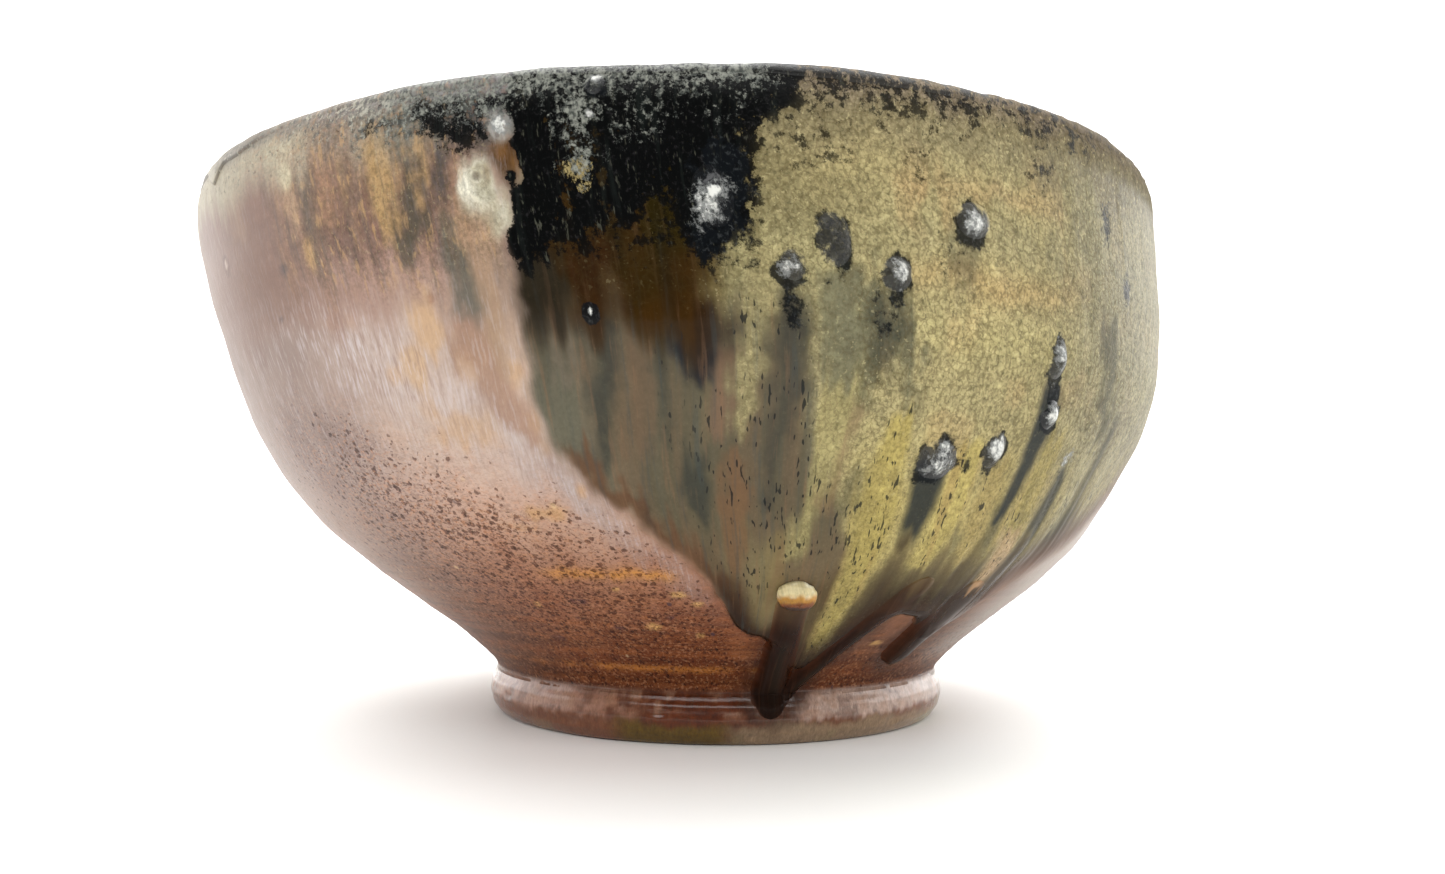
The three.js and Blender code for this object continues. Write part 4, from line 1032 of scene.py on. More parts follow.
def fired_surface():
    """One node group for every fired surface, so that colours run on from piece to piece."""
    tree = bpy.data.node_groups.new("fired_surface", "ShaderNodeTree")
    tree.interface.new_socket("Color", in_out="OUTPUT", socket_type="NodeSocketColor")
    tree.interface.new_socket("Roughness", in_out="OUTPUT", socket_type="NodeSocketFloat")
    tree.interface.new_socket("Height", in_out="OUTPUT", socket_type="NodeSocketFloat")
    N = Nodes(tree)
    out = tree.nodes.new("NodeGroupOutput")
    flow = N.attr("flow").outputs["Vector"]
    col = N.attr("paint").outputs["Color"]
    mottle, pale, gold = N.split(N.attr("ma").outputs["Vector"])
    dash, hair, fleck = N.split(N.attr("mb").outputs["Vector"])
    streak, white, halo = N.split(N.attr("mc").outputs["Vector"])
    rough, ochre, grain = N.split(N.attr("md").outputs["Vector"])

    black, veil, net = N.split(N.attr("me").outputs["Vector"])

    def over(colour_, amount, rgb):
        return N.mix(colour_, rgb, amount)

    def times(*v):
        out_ = v[0]
        for x in v[1:]:
            out_ = N.math("MULTIPLY", out_, x)
        return out_

    def shifted(x, noise, k):
        """A mask pushed up and down by noise, so that a threshold on it breaks up."""
        return N.math("ADD", x, N.math("MULTIPLY", N.math("SUBTRACT", noise, 0.5), k))

    # long streaks down the wall
    st = N.noise(N.scale(flow, (1.0, 1.0, 0.075)), 1.15, 4.0, 0.62)
    col = over(col, times(N.ramp(st, 0.53, 0.68), streak, 0.5), SLATE * 0.75)
    col = over(col, times(N.ramp(st, 0.46, 0.33), streak, 0.4), BROWN * 1.05)
    # tone: mottling in the matt glaze, gentler elsewhere
    mo = N.noise(flow, 1.0, 5.0, 0.7)
    mo2 = N.noise(N.scale(flow, (1.0, 1.0, 0.8)), 2.9, 3.0, 0.6)
    mo3 = N.noise(flow, 0.32, 3.0, 0.55)
    tone = N.math("ADD", N.math("MULTIPLY", N.ramp(mo, 0.3, 0.7, False), 0.8), N.math("MULTIPLY", N.ramp(mo2, 0.3, 0.7, False), 0.75))
    tone = N.math("ADD", tone, N.math("MULTIPLY", N.ramp(mo3, 0.3, 0.7, False), 0.35))
    tone = N.math("ADD", N.math("MULTIPLY", N.math("SUBTRACT", tone, 0.95), N.math("MULTIPLY", N.math("ADD", mottle, 0.16), 0.8)), 1.0)
    v = tree.nodes.new("ShaderNodeVectorMath")
    v.operation = "SCALE"
    tree.links.new(col, v.inputs[0])
    tree.links.new(tone, v.inputs["Scale"])
    col = v.outputs[0]
    # dark net between the grains of the matt glaze
    warp = tree.nodes.new("ShaderNodeVectorMath")
    warp.operation = "ADD"
    nn = tree.nodes.new("ShaderNodeTexNoise")
    nn.inputs["Scale"].default_value = 0.9
    tree.links.new(flow, nn.inputs["Vector"])
    tree.links.new(flow, warp.inputs[0])
    tree.links.new(nn.outputs["Color"], warp.inputs[1])
    ce = N.cells(warp.outputs[0], 1.25, "DISTANCE_TO_EDGE")
    gap = N.ramp(shifted(ce.outputs["Distance"], mo2, 0.35), 0.13, 0.02)
    col = over(col, times(gap, net, 0.5), colour(92, 80, 52))
    sp = N.noise(flow, 2.2, 3.0, 0.6)
    col = over(col, times(N.ramp(sp, 0.57, 0.66), mottle, 0.6), colour(80, 74, 54))
    col = over(col, times(N.ramp(sp, 0.40, 0.32), net, 0.45), colour(206, 194, 146))
    # ochre freckles
    oc = N.noise(N.scale(flow, (1.0, 1.0, 0.35)), 1.3, 4.0, 0.65)
    col = over(col, times(N.ramp(oc, 0.54, 0.66), ochre), colour(196, 158, 108))
    # fine hairs of pale ash on the flashed clay
    ha = N.noise(N.scale(flow, (1.0, 1.0, 0.14)), 3.2, 3.0, 0.62)
    col = over(col, times(N.ramp(ha, 0.5, 0.66), hair, 0.75), colour(194, 184, 186))
    col = over(col, times(N.ramp(ha, 0.48, 0.34), hair, 0.75), colour(136, 110, 102))
    # iron flecks in the bare clay, lying along the throwing lines
    fl = N.noise(N.scale(flow, (1.0, 1.0, 2.0)), 1.65, 2.0, 0.55, 0.4)
    fl2 = N.noise(flow, 0.3, 2.0, 0.5)
    amount = times(N.ramp(shifted(fl, fl2, 0.3), 0.515, 0.575), fleck)
    col = over(col, times(amount, 0.35), colour(70, 32, 20))
    fl3 = N.noise(N.scale(flow, (1.0, 1.0, 1.5)), 3.2, 2.0, 0.6)
    col = over(col, times(N.ramp(fl3, 0.56, 0.63), fleck, 0.4), colour(60, 28, 18))
    wv = tree.nodes.new("ShaderNodeVectorMath")
    wv.operation = "ADD"
    wn_ = tree.nodes.new("ShaderNodeTexNoise")
    wn_.inputs["Scale"].default_value = 1.7
    wn_.inputs["Detail"].default_value = 3.0
    tree.links.new(flow, wn_.inputs["Vector"])
    tree.links.new(N.scale(flow, (1.0, 1.0, 1.35)), wv.inputs[0])
    tree.links.new(wn_.outputs["Color"], wv.inputs[1])
    for size, chance, reach, strength in ((1.0, 0.12, 0.44, 0.82), (1.9, 0.2, 0.44, 0.75)):
        ce2 = N.cells(wv.outputs[0], size)
        pick = N.split(ce2.outputs["Color"])
        fall = N.math("ADD", N.math("MULTIPLY", pick[1], 0.2), N.math("MULTIPLY", N.math("SUBTRACT", 0.95, fleck), 0.2))
        near = N.ramp(N.math("ADD", ce2.outputs["Distance"], fall), reach + 0.1, reach - 0.04)
        on = N.ramp(N.math("ADD", pick[0], N.math("SUBTRACT", fleck, 0.95)), chance, chance + 0.05)
        deep_ = tree.nodes.new("ShaderNodeVectorMath")
        deep_.operation = "MULTIPLY"
        tree.links.new(col, deep_.inputs[0])
        deep_.inputs[1].default_value = (0.24, 0.15, 0.13)
        col = N.mix(col, deep_.outputs[0], times(near, on, N.ramp(fleck, 0.02, 0.4), strength))
    fp = N.noise(N.scale(flow, (1.0, 1.0, 1.6)), 1.6, 3.0, 0.6)
    col = over(col, times(N.ramp(fp, 0.52, 0.64), fleck, 0.5), colour(190, 136, 100))
    dot = N.cells(flow, 0.33)
    near = N.ramp(dot.outputs["Distance"], 0.16, 0.08)
    rare = N.ramp(N.split(dot.outputs["Color"])[0], 0.86, 0.88)
    col = over(col, times(near, rare, fleck, 0.8), colour(46, 44, 60))
    rare = N.ramp(N.split(dot.outputs["Color"])[1], 0.9, 0.92)
    col = over(col, times(near, rare, fleck, 0.85), colour(208, 178, 138))
    # short dark dashes drawn down by the flow
    da = N.noise(N.scale(flow, (1.0, 1.0, 0.30)), 2.7, 1.0, 0.5)
    da2 = N.noise(N.scale(flow, (1.0, 1.0, 0.6)), 0.28, 2.0, 0.5)
    k = N.ramp(N.math("ADD", shifted(da, da2, 0.4), N.math("MULTIPLY", N.math("SUBTRACT", dash, 0.7), 0.07)), 0.643, 0.69)
    col = over(col, times(k, N.ramp(dash, 0.0, 0.5), 0.85), colour(28, 31, 33))
    # blue-black glass, broken up at its edges
    bn = N.noise(flow, 0.75, 6.0, 0.74)
    blk = N.ramp(shifted(black, bn, 2.3), 0.42, 0.60)
    blk = times(blk, N.ramp(black, 0.02, 0.16))
    inkcol = N.mix(colour(8, 9, 9), colour(34, 33, 34), N.ramp(mo2, 0.54, 0.76))
    ld = N.ramp(N.noise(N.scale(flow, (1.0, 1.0, 0.3)), 2.3, 3.0, 0.6), 0.60, 0.72)
    inkcol = N.mix(inkcol, colour(74, 74, 64), times(ld, 0.7))
    inkcol = N.mix(inkcol, colour(26, 31, 29), times(N.ramp(st, 0.52, 0.68), 0.5))
    col = N.mix(col, inkcol, times(blk, N.ramp(black, -0.6, 0.75)))
    # gold and grey ash speckle
    go = N.noise(N.scale(flow, (1.0, 1.0, 0.6)), 1.9, 5.0, 0.74)
    k = N.ramp(shifted(gold, go, 2.2), 0.86, 1.02)
    col = N.mix(col, N.mix(colour(112, 96, 54), colour(182, 166, 118), mo), times(k, N.ramp(gold, 0.02, 0.2), 0.95))
    ash = N.noise(flow, 1.5, 6.0, 0.78)
    k = N.ramp(shifted(pale, ash, 1.7), 0.52, 0.66)
    ashcol = N.mix(colour(92, 92, 90), colour(196, 190, 172), N.ramp(shifted(pale, mo2, 2.0), 0.3, 0.85))
    ashcol = N.mix(ashcol, N.mix(colour(72, 76, 72), colour(150, 152, 142), N.ramp(shifted(pale, mo2, 2.0), 0.3, 0.85)), veil)
    pale_k = times(k, N.ramp(pale, 0.03, 0.2))
    col = N.mix(col, ashcol, times(pale_k, 0.82))
    # dark glass round a drip, its outline broken by noise
    hn = N.noise(flow, 1.2, 5.0, 0.72)
    hk = times(N.ramp(shifted(halo, hn, 1.5), 0.38, 0.66), N.ramp(halo, 0.04, 0.2))
    hcol = N.mix(colour(14, 17, 20), colour(50, 53, 54), N.ramp(mo2, 0.5, 0.76))
    col = N.mix(col, hcol, times(hk, 0.92))
    # the milky core; its bright middle is partly a painted highlight
    wn = N.noise(flow, 1.5, 5.0, 0.78)
    wk = times(N.ramp(shifted(white, wn, 1.6), 0.44, 0.74), N.ramp(white, 0.05, 0.25))
    core = N.mix(colour(126, 128, 126), colour(224, 224, 218), N.ramp(shifted(white, mo2, 1.1), 0.58, 0.95))
    col = N.mix(col, core, times(wk, 0.95))

    # roughness
    rr = N.math("ADD", rough, N.math("MULTIPLY", N.math("SUBTRACT", mo2, 0.5), 0.12))
    rr = N.math("ADD", rr, N.math("MULTIPLY", pale_k, 0.12))
    rr = N.math("SUBTRACT", rr, times(blk, rough, 0.45))
    rr = N.math("SUBTRACT", rr, times(hk, rough, 0.3))
    rr = N.math("MAXIMUM", rr, 0.07)
    # height in mm
    h = times(mo, grain, 0.06)
    h = N.math("ADD", h, times(mo2, grain, 0.04))
    h = N.math("SUBTRACT", h, times(gap, net, 0.02))
    h = N.math("ADD", h, times(pale_k, 0.03))
    h = N.math("SUBTRACT", h, times(amount, 0.02))
    h = N.math("ADD", h, times(wk, 0.03))
    h = N.math("ADD", h, times(N.noise(flow, 0.22, 2.0, 0.5), 0.03))
    for name, sock in (("Color", col), ("Roughness", rr), ("Height", h)):
        tree.links.new(sock, out.inputs[name])
    return tree


SURFACE = fired_surface()


def fired_material(name, tint=(1, 1, 1), rough_add=0.0, coat=0.0, bump=1.0, ior=1.5, spec=0.3):
    mat = bpy.data.materials.new(name)
    mat.use_nodes = True
    t = mat.node_tree
    t.nodes.clear()
    N = Nodes(t)
    out = t.nodes.new("ShaderNodeOutputMaterial")
    b = t.nodes.new("ShaderNodeBsdfPrincipled")
    g = t.nodes.new("ShaderNodeGroup")
    g.node_tree = SURFACE
    bp = t.nodes.new("ShaderNodeBump")
    bp.inputs["Strength"].default_value = 1.0
    bp.inputs["Distance"].default_value = 0.001 * bump
    t.links.new(g.outputs["Height"], bp.inputs["Height"])
    t.links.new(bp.outputs["Normal"], b.inputs["Normal"])
    col = g.outputs["Color"]
    if tuple(tint) != (1, 1, 1):
        v = t.nodes.new("ShaderNodeVectorMath")
        v.operation = "MULTIPLY"
        t.links.new(col, v.inputs[0])
        v.inputs[1].default_value = tint
        col = v.outputs[0]
    t.links.new(col, b.inputs["Base Color"])
    rr = N.math("ADD", g.outputs["Roughness"], rough_add)
    t.links.new(rr, b.inputs["Roughness"])
    b.inputs["IOR"].default_value = ior
    b.inputs["Specular IOR Level"].default_value = spec
    b.inputs["Coat Weight"].default_value = coat
    b.inputs["Coat Roughness"].default_value = 0.08
    b.inputs["Coat IOR"].default_value = 1.45
    t.links.new(b.outputs[0], out.inputs[0])
    return mat


MAT_CLAY = fired_material("flashed_stoneware", spec=0.14)
MAT_FOOT = fired_material("foot_stoneware", spec=0.38)
MAT_LINER = fired_material("liner_glaze")
MAT_COAT = fired_material("ash_glaze", spec=0.05)
MAT_RUN = fired_material("run_glaze", (1.04, 0.86, 0.76), spec=0.05)
MAT_WAD = fired_material("wad_refractory")
MAT_DRIP = fired_material("drip_glass")


def dress(ob, mat, slot, *nodes):
    ob.data.materials.append(mat)
    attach(ob, "root")
    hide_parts(*nodes)
    return ob


# ------------------------------------------------------------------------------------------------------------------
# clay body
# ------------------------------------------------------------------------------------------------------------------
def build_body():
    cols = spread([(-100, 24, 0.46 * FINE), (24, 260, 1.05 * FINE)])
    wall = np.arange(S_GROOVE - 0.6, S_CREST - 1.0, 0.45 * FINE)
    hidden = np.linspace(S_CREST - 0.8, TOTAL - 2.0, 30)
    under = [(3.2, 6.0), (6.0, 6.35), (12.0, 6.5), (18.0, 6.45), (22.5, 6.3), (24.6, 6.15), (27.2, 6.05)]
    TH, SW = np.meshgrid(cols, wall, indexing="xy")
    d = edge_distance(TH, SW)
    h = throwing(TH, SW)
    h = h - 0.4 * smooth(0.25, 1.3, d)
    top = place(TH, SW, h)
    TH2, SH = np.meshgrid(cols, hidden, indexing="xy")
    lap = place(TH2, SH, np.zeros_like(TH2) - 0.55)
    rows = []
    a = np.radians(cols)
    turn = 0.05
    for k, (r, z) in enumerate(under):
        wob = 0.06 * np.sin(3 * a + k)
        rows.append(np.stack([r * np.sin(a), -r * np.cos(a), np.full_like(a, z) + wob * (r < 24)], -1))
    ring = np.concatenate([np.array(rows), top, lap])
    ths = np.concatenate([np.broadcast_to(cols, (len(under), len(cols))), TH, TH2])
    # Under the foot the chart runs on below the ground line, so that its clay is painted like the foot.
    ss = np.concatenate([
        np.broadcast_to(np.array([[3.4 + 0.0 * k] for k in range(len(under))]), (len(under), len(cols))), SW, SH,
    ])
    pts, faces, tt, s2 = closed_turned("clay_body", cols, ring, ths, ss)
    base, m = paint(tt, s2)
    # Bare recess: the chart has no room there, so its colour comes from its own place.
    low = np.hypot(pts[:, 0], pts[:, 1]) < 27.5
    recess = (pts[:, 2] < 8) & low
    n1 = fbm(pts[:, 0] / 5, pts[:, 1] / 5, 0, 401, 3)
    turn = np.sin(np.hypot(pts[:, 0], pts[:, 1]) * 2.6 + np.arctan2(pts[:, 1], pts[:, 0]))
    c = lay(np.zeros_like(base) + colour(122, 78, 56), colour(92, 54, 38), smooth(-0.2, 0.5, n1))
    c = lay(c, colour(150, 104, 74), 0.35 * smooth(0.3, 1.0, turn))
    base = np.where(recess[:, None], c, base)
    m["rough"] = np.where(recess, 0.62, m["rough"])
    m["grain"] = np.where(recess, 1.2, m["grain"])
    m["fleck"] = np.where(recess, 0.6, m["fleck"])
    ob = make("bowl_wall", pts, faces, tt, s2, (base, m))
    f = np.stack([pts[:, 0] + 200, pts[:, 1], pts[:, 2]], -1)
    flow = flow_of(tt, s2)
    flow = np.where(recess[:, None], f, flow)
    ob.data.attributes["flow"].data.foreach_set("vector", np.ascontiguousarray(flow, np.float32).ravel())
    return dress(ob, MAT_CLAY, "clay", "clay_body")


def build_foot():
    cols = spread([(-180, 180, 0.62 * FINE)])
    a = np.radians(cols)
    out = np.arange(0.0, S_GROOVE + 0.25, 0.16 * FINE)
    TH, SW = np.meshgrid(cols, out, indexing="xy")
    f = flow_of(TH, SW)
    h = 0.03 * fbm(f[..., 0] / 1.6, f[..., 1] / 1.6, SW / 1.6, 501, 3) + 0.07 * value_noise(f[..., 0] / 14, f[..., 1] / 14, SW / 9, 503)
    h = h + 0.03 * np.sin(SW * 2 * math.pi / 1.55 + 0.6 * value_noise(f[..., 0] / 20, f[..., 1] / 20, 0, 507)) * smooth(0.8, 2, SW)
    # a few nicks and dents on the shoulder and the bevel
    for t0, s0, rt, rs, dep in ((-34, 2.6, 1.6, 0.7, 0.16), (-12, 4.2, 1.1, 0.5, 0.12), (8, 1.6, 1.9, 0.6, 0.15), (22, 4.6, 1.3, 0.4, 0.1), (44, 2.2, 1.5, 0.7, 0.15),
                            (-58, 3.8, 1.6, 0.6, 0.12), (95, 2.4, 1.6, 0.7, 0.15), (150, 3.3, 1.6, 0.5, 0.15), (-120, 2.2, 1.4, 0.8, 0.15)):
        q = np.hypot(30 * np.radians((TH - t0 + 180) % 360 - 180) / rt, (SW - s0) / rs)
        h = h - dep * (1 - smooth(0.2, 1.2, q))
    h = h * smooth(0.0, 0.6, SW)
    top = place(TH, SW, h)
    inner = [(27.6, 6.25), (26.0, 6.25), (25.1, 6.2), (24.75, 5.8), (24.5, 5.2), (24.3, 4.2), (24.2, 3.2), (24.2, 2.2), (24.3, 1.3), (24.5, 0.6), (24.75, 0.15), (25.2, 0.0), (26.0, 0.0), (27.2, 0.0), (28.1, 0.0)]
    rows = [np.stack([r * np.sin(a), -r * np.cos(a), np.full_like(a, z)], -1) for r, z in inner]
    ring = np.concatenate([top, np.array(rows)])
    rr, cc = ring.shape[:2]
    pts = ring.reshape(-1, 3)
    faces = outward(pts, sheet_faces(rr, cc, wrap_cols=True, wrap_rows=True))
    ths = np.concatenate([TH, np.broadcast_to(cols, (len(inner), len(cols)))]).reshape(-1)
    ss = np.concatenate([SW, np.broadcast_to(np.linspace(5.0, 0.2, len(inner))[:, None], (len(inner), len(cols)))]).reshape(-1)
    base, m = paint(ths, ss)
    hid = np.arange(len(pts)) >= TH.size
    flat = hid & (pts[:, 2] < 0.02)
    n1 = fbm(pts[:, 0] / 4, pts[:, 1] / 4, pts[:, 2] / 4, 511, 3)
    c = lay(np.zeros_like(base) + colour(128, 84, 60), colour(88, 56, 40), smooth(-0.2, 0.5, n1))
    base = np.where(hid[:, None], c, base)
    m["rough"] = np.where(hid, 0.6, m["rough"])
    m["rough"] = np.where(flat, 0.7, m["rough"])
    m["grain"] = np.where(hid, 1.0, m["grain"])
    ob = make("foot_coil", pts, faces, ths, ss, (base, m))
    f = np.stack([pts[:, 0] + 300, pts[:, 1], pts[:, 2]], -1)
    flow = np.where(hid[:, None], f, flow_of(ths, ss))
    ob.data.attributes["flow"].data.foreach_set("vector", np.ascontiguousarray(flow, np.float32).ravel())
    return dress(ob, MAT_FOOT, "foot_clay", "foot_ring")


# ------------------------------------------------------------------------------------------------------------------
# liner glaze: it laps the lip, and its edge hangs a little lower in one place on the left
# ------------------------------------------------------------------------------------------------------------------
def lap_edge(th):
    """Length along the outside where the liner ends."""
    t = (np.asarray(th) + 180) % 360 - 180
    wave = value_noise(np.cos(np.radians(t)) * 9, np.sin(np.radians(t)) * 9, 0, 601) * 0.28
    wave = wave + value_noise(np.cos(np.radians(t)) * 40, np.sin(np.radians(t)) * 40, 0, 603) * 0.12
    dip = -2.2 * np.exp(-((t + 51.5) / 2.2) ** 2) - 0.9 * np.exp(-((t + 46) / 5) ** 2)
    return S_CREST - 2.1 + wave + dip


def lip_height(th, s):
    f = flow_of(th, s)
    lump = 0.22 * value_noise(f[..., 0] / 16, f[..., 1] / 16, 0, 611) + 0.10 * fbm(f[..., 0] / 3.2, f[..., 1] / 3.2, s / 3.2, 613, 2)
    t = (np.asarray(th) + 180) % 360 - 180
    crumb = (smooth(10, 24, t) * (1 - smooth(80, 110, t)) + smooth(-70, -60, t) * (1 - smooth(-40, -30, t)) * 0.4) * 0.13 * fbm(f[..., 0] / 1.1, f[..., 1] / 1.1, s / 1.1, 617, 2)
    near = smooth(S_CREST - 3.5, S_CREST - 1.0, s) * (1 - smooth(S_CREST + 2, S_CREST + 6, s))
    return (lump + crumb) * near


def build_liner():
    cols = spread([(-180, 180, 0.9 * FINE)])
    lip = spread([(S_CREST + 4.0, S_CREST - 2.1, 0.22 * FINE)])[::-1]
    well = spread([(TOTAL - 0.35, S_CREST + 4.0, 0.62 * FINE)])
    TH = np.broadcast_to(cols, (len(well), len(cols)))
    SW = np.broadcast_to(well[:, None], TH.shape)

    def relief(th, s):
        f = flow_of(th, s)
        down = s - S_CREST
        spiral = 0.22 * np.sin((down * 2 * math.pi / 8.2) + np.radians(th)) * smooth(8, 20, down) * (1 - 0.4 * smooth(60, 90, down))
        spiral = spiral * (1 - smooth(TOTAL - S_CREST - 14, TOTAL - S_CREST - 2, down))
        flows = 0.06 * streaks(th, s, 2.4, 22, 621, 2) * smooth(3, 10, down) * (1 - smooth(60, 75, down))
        return spiral + flows

    P1 = place(TH, SW, relief(TH, SW))
    t = np.linspace(0, 1, max(18, int(34 / FINE)))[:, None]
    end = lap_edge(cols)[None, :]
    S2 = (S_CREST + 4.0) * (1 - t) + end * t
    T2 = np.broadcast_to(cols, S2.shape)
    body = throwing(T2, S2)
    d = edge_distance(T2, S2)
    under = np.maximum(coat_height(T2, S2, d), 0)
    k = np.clip((S2 - end) / 0.9, 0, 1)
    lapth = 0.26 * np.sqrt(np.clip(1 - (1 - k) ** 2, 0, 1)) - 0.06 * (k <= 0)
    out = smooth(S_CREST + 0.5, S_CREST - 1.0, S2)
    h2 = relief(T2, S2) * (1 - out) + out * (body + under + lapth) + lip_height(T2, S2) + 0.1 * (1 - out)
    P2 = place(T2, S2, h2)
    # back of the shell, inside the clay
    back_s = np.linspace(0, 1, 26)[:, None]
    S3 = end * (1 - back_s) + (TOTAL - 0.35) * back_s
    T3 = np.broadcast_to(cols, S3.shape)
    P3 = place(T3, S3, -0.45 + 0.0 * S3)
    # front rows then back rows; both ends meet the axis
    ring = np.concatenate([P1, P2, P3])
    ths = np.concatenate([TH, T2, T3])
    ss = np.concatenate([SW, S2, S3])
    pts, faces, tt, s2 = closed_turned("liner", cols, ring, ths, ss)
    base, m = paint(tt, s2)
    # the thin dark line where it ends, on the left
    e = lap_edge(tt)
    tn = (tt + 180) % 360 - 180
    line = np.exp(-((s2 - e - 0.12) / 0.16) ** 2) * (smooth(-75, -60, tn) * (1 - smooth(-45, -38, tn)) + 0.12)
    base = lay(base, colour(46, 36, 28), np.clip(line, 0, 1) * 0.85)
    ob = make("liner", pts, faces, tt, s2, (base, m))
    return dress(ob, MAT_LINER, "liner_glaze", "liner_glaze")


# ------------------------------------------------------------------------------------------------------------------
# ash glaze sheet
# ------------------------------------------------------------------------------------------------------------------
def build_coat():
    cols = spread([(-17.5, 66, 0.30 * FINE), (66, 159.5, 0.85 * FINE)])
    cols = np.append(cols, 159.5)
    edge_z = table([(-17.5, 34), (-15, 33), (-13.4, 28.6), (-9.2, 24.4), (-4.8, 21.2), (0.6, 16.5), (3.4, 12.6), (5.2, 11.6), (7.4, 11.2), (9, 10.6), (12, 8.8), (16, 7.3),
                    (18, 7.5), (20, 8.4), (21.8, 10.0), (23.6, 11.6), (26, 12.8), (30, 13.4), (33.5, 13.0), (35.5, 11.6), (37.5, 10.5), (40, 10.3), (43, 11.0), (46, 12.4), (50, 15.0),
                    (54, 17.0), (60, 19.8), (67, 23.2), (75, 26.5), (85, 28), (95, 30), (115, 34), (125, 36.5), (135, 41), (143, 45), (150, 50), (156, 56), (160, 57)], cols)
    low = at(edge_z)
    n = int(170 / FINE)
    t = np.linspace(0, 1, n)[:, None]
    high = S_CREST - 0.9
    S1 = low[None, :] * (1 - t) + high * t
    T1 = np.broadcast_to(cols, S1.shape)
    d = edge_distance(T1, S1)
    h = throwing(T1, S1) + coat_height(T1, S1, d)
    h = h - 0.5 * smooth(S_CREST - 1.7, S_CREST - 1.1, S1)
    P1 = place(T1, S1, h)
    tb = np.linspace(1, 0, 9)[:, None]
    S2 = low[None, :] * (1 - tb) + high * tb
    T2 = np.broadcast_to(cols, S2.shape)
    P2 = place(T2, S2, -0.62 + 0 * S2)
    ring = np.concatenate([P1, P2])
    rr, cc = ring.shape[:2]
    pts = ring.reshape(-1, 3)
    faces = sheet_faces(rr, cc, wrap_rows=True)
    faces.append([r * cc for r in range(rr)])
    faces.append([r * cc + cc - 1 for r in range(rr)][::-1])
    body = outward(pts, faces[:-2])
    if body is not faces[:-2] and body[0] != faces[0]:
        faces = body + [faces[-2][::-1], faces[-1][::-1]]
    tt = np.concatenate([T1, T2]).reshape(-1)
    ss = np.concatenate([S1, S2]).reshape(-1)
    ob = make("ash_sheet", pts, faces, tt, ss, paint(tt, ss))
    return dress(ob, MAT_COAT, "ash_glaze", "ash_glaze_coat")


# ------------------------------------------------------------------------------------------------------------------
# lumps and runs
# ------------------------------------------------------------------------------------------------------------------
def dome(name, th0, z0, rx, ry, proud, kind, rings=26, around=56):
    """A closed drop on the wall. Its skirt meets the surface at a flat angle and dips under it."""
    s0, r0 = float(at(z0)), float(prof(float(at(z0)))[0])
    rho = np.concatenate([np.linspace(0.06, 1.0, rings), [1.1, 1.2]])
    phi = np.linspace(0, 2 * math.pi, around, endpoint=False)
    Rh, Ph = np.meshgrid(rho, phi, indexing="ij")
    seed = sum(ord(c) for c in name)
    lumpy = {"crust": 0.16, "grey": 0.14, "star": 0.07}.get(kind, 0.03)
    wob = 1 + 0.05 * np.sin(2 * Ph + seed) + lumpy * 0.6 * value_noise(np.cos(Ph) * 1.6, np.sin(Ph) * 1.6, seed, 701)
    x, y = Rh * rx * wob * np.cos(Ph), Rh * ry * wob * np.sin(Ph)
    th, s = th0 + np.degrees(x / r0), s0 + y
    q = np.clip(Rh, 0, 1)
    if kind in ("crust", "grey", "dark", "pale"):
        b = proud * (1 - smooth(0.3, 1.0, q)) * (1 + lumpy * 2.0 * fbm(x / 0.9, y / 0.9, seed, 705, 3))
    elif kind == "star":
        b = proud * (0.55 * (1 - smooth(0.0, 1.0, q)) + 0.45 * np.exp(-((x - 0.1) ** 2 + (y - 0.4) ** 2) / 0.9) * (1 - smooth(0.7, 1.0, q)))
        b = b * (1 + 0.25 * fbm(x / 0.6, y / 0.9, seed, 705, 3))
    else:
        b = proud * (1 - q**2) ** 1.4 * (1 + 0.05 * fbm(x / 0.8, y / 0.8, seed, 705, 2))
    b = b - 0.02 - 0.35 * smooth(1.0, 1.2, Rh)
    g = ground(th, s)
    top = place(th, s, g + b)
    under = place(th[::-6], s[::-6], g[::-6] - 0.6 + 0 * b[::-6])
    ring = np.concatenate([top, under])
    ths = np.concatenate([th, th[::-6]])
    ss = np.concatenate([s, s[::-6]])
    rr, cc = ring.shape[:2]
    pts = ring.reshape(-1, 3)
    faces = sheet_faces(rr, cc, wrap_cols=True)
    n = len(pts)
    c_top = place(np.array([th0]), np.array([s0]), ground(np.array([th0]), np.array([s0])) + float(b[0].mean()))
    c_bot = place(np.array([th0]), np.array([s0]), ground(np.array([th0]), np.array([s0])) - 0.6)
    pts = np.concatenate([pts, c_top, c_bot])
    for c in range(cc):
        c2 = (c + 1) % cc
        faces.append([c, n, c2])
        faces.append([(rr - 1) * cc + c, (rr - 1) * cc + c2, n + 1])
    tt = np.concatenate([ths.reshape(-1), [th0, th0]])
    s2 = np.concatenate([ss.reshape(-1), [s0, s0]])
    return pts, outward(pts, faces), tt, s2


def build_drips():
    for name, (th0, z0, rx, ry, proud, kind) in DRIPS.items():
        pts, faces, tt, ss = dome(name, th0, z0, rx, ry, proud, kind)
        base, m = paint(tt, ss)
        ob = make(name.replace("kiln_", ""), pts, faces, tt, ss, (base, m))
        dress(ob, MAT_DRIP, "drip_glass", name)


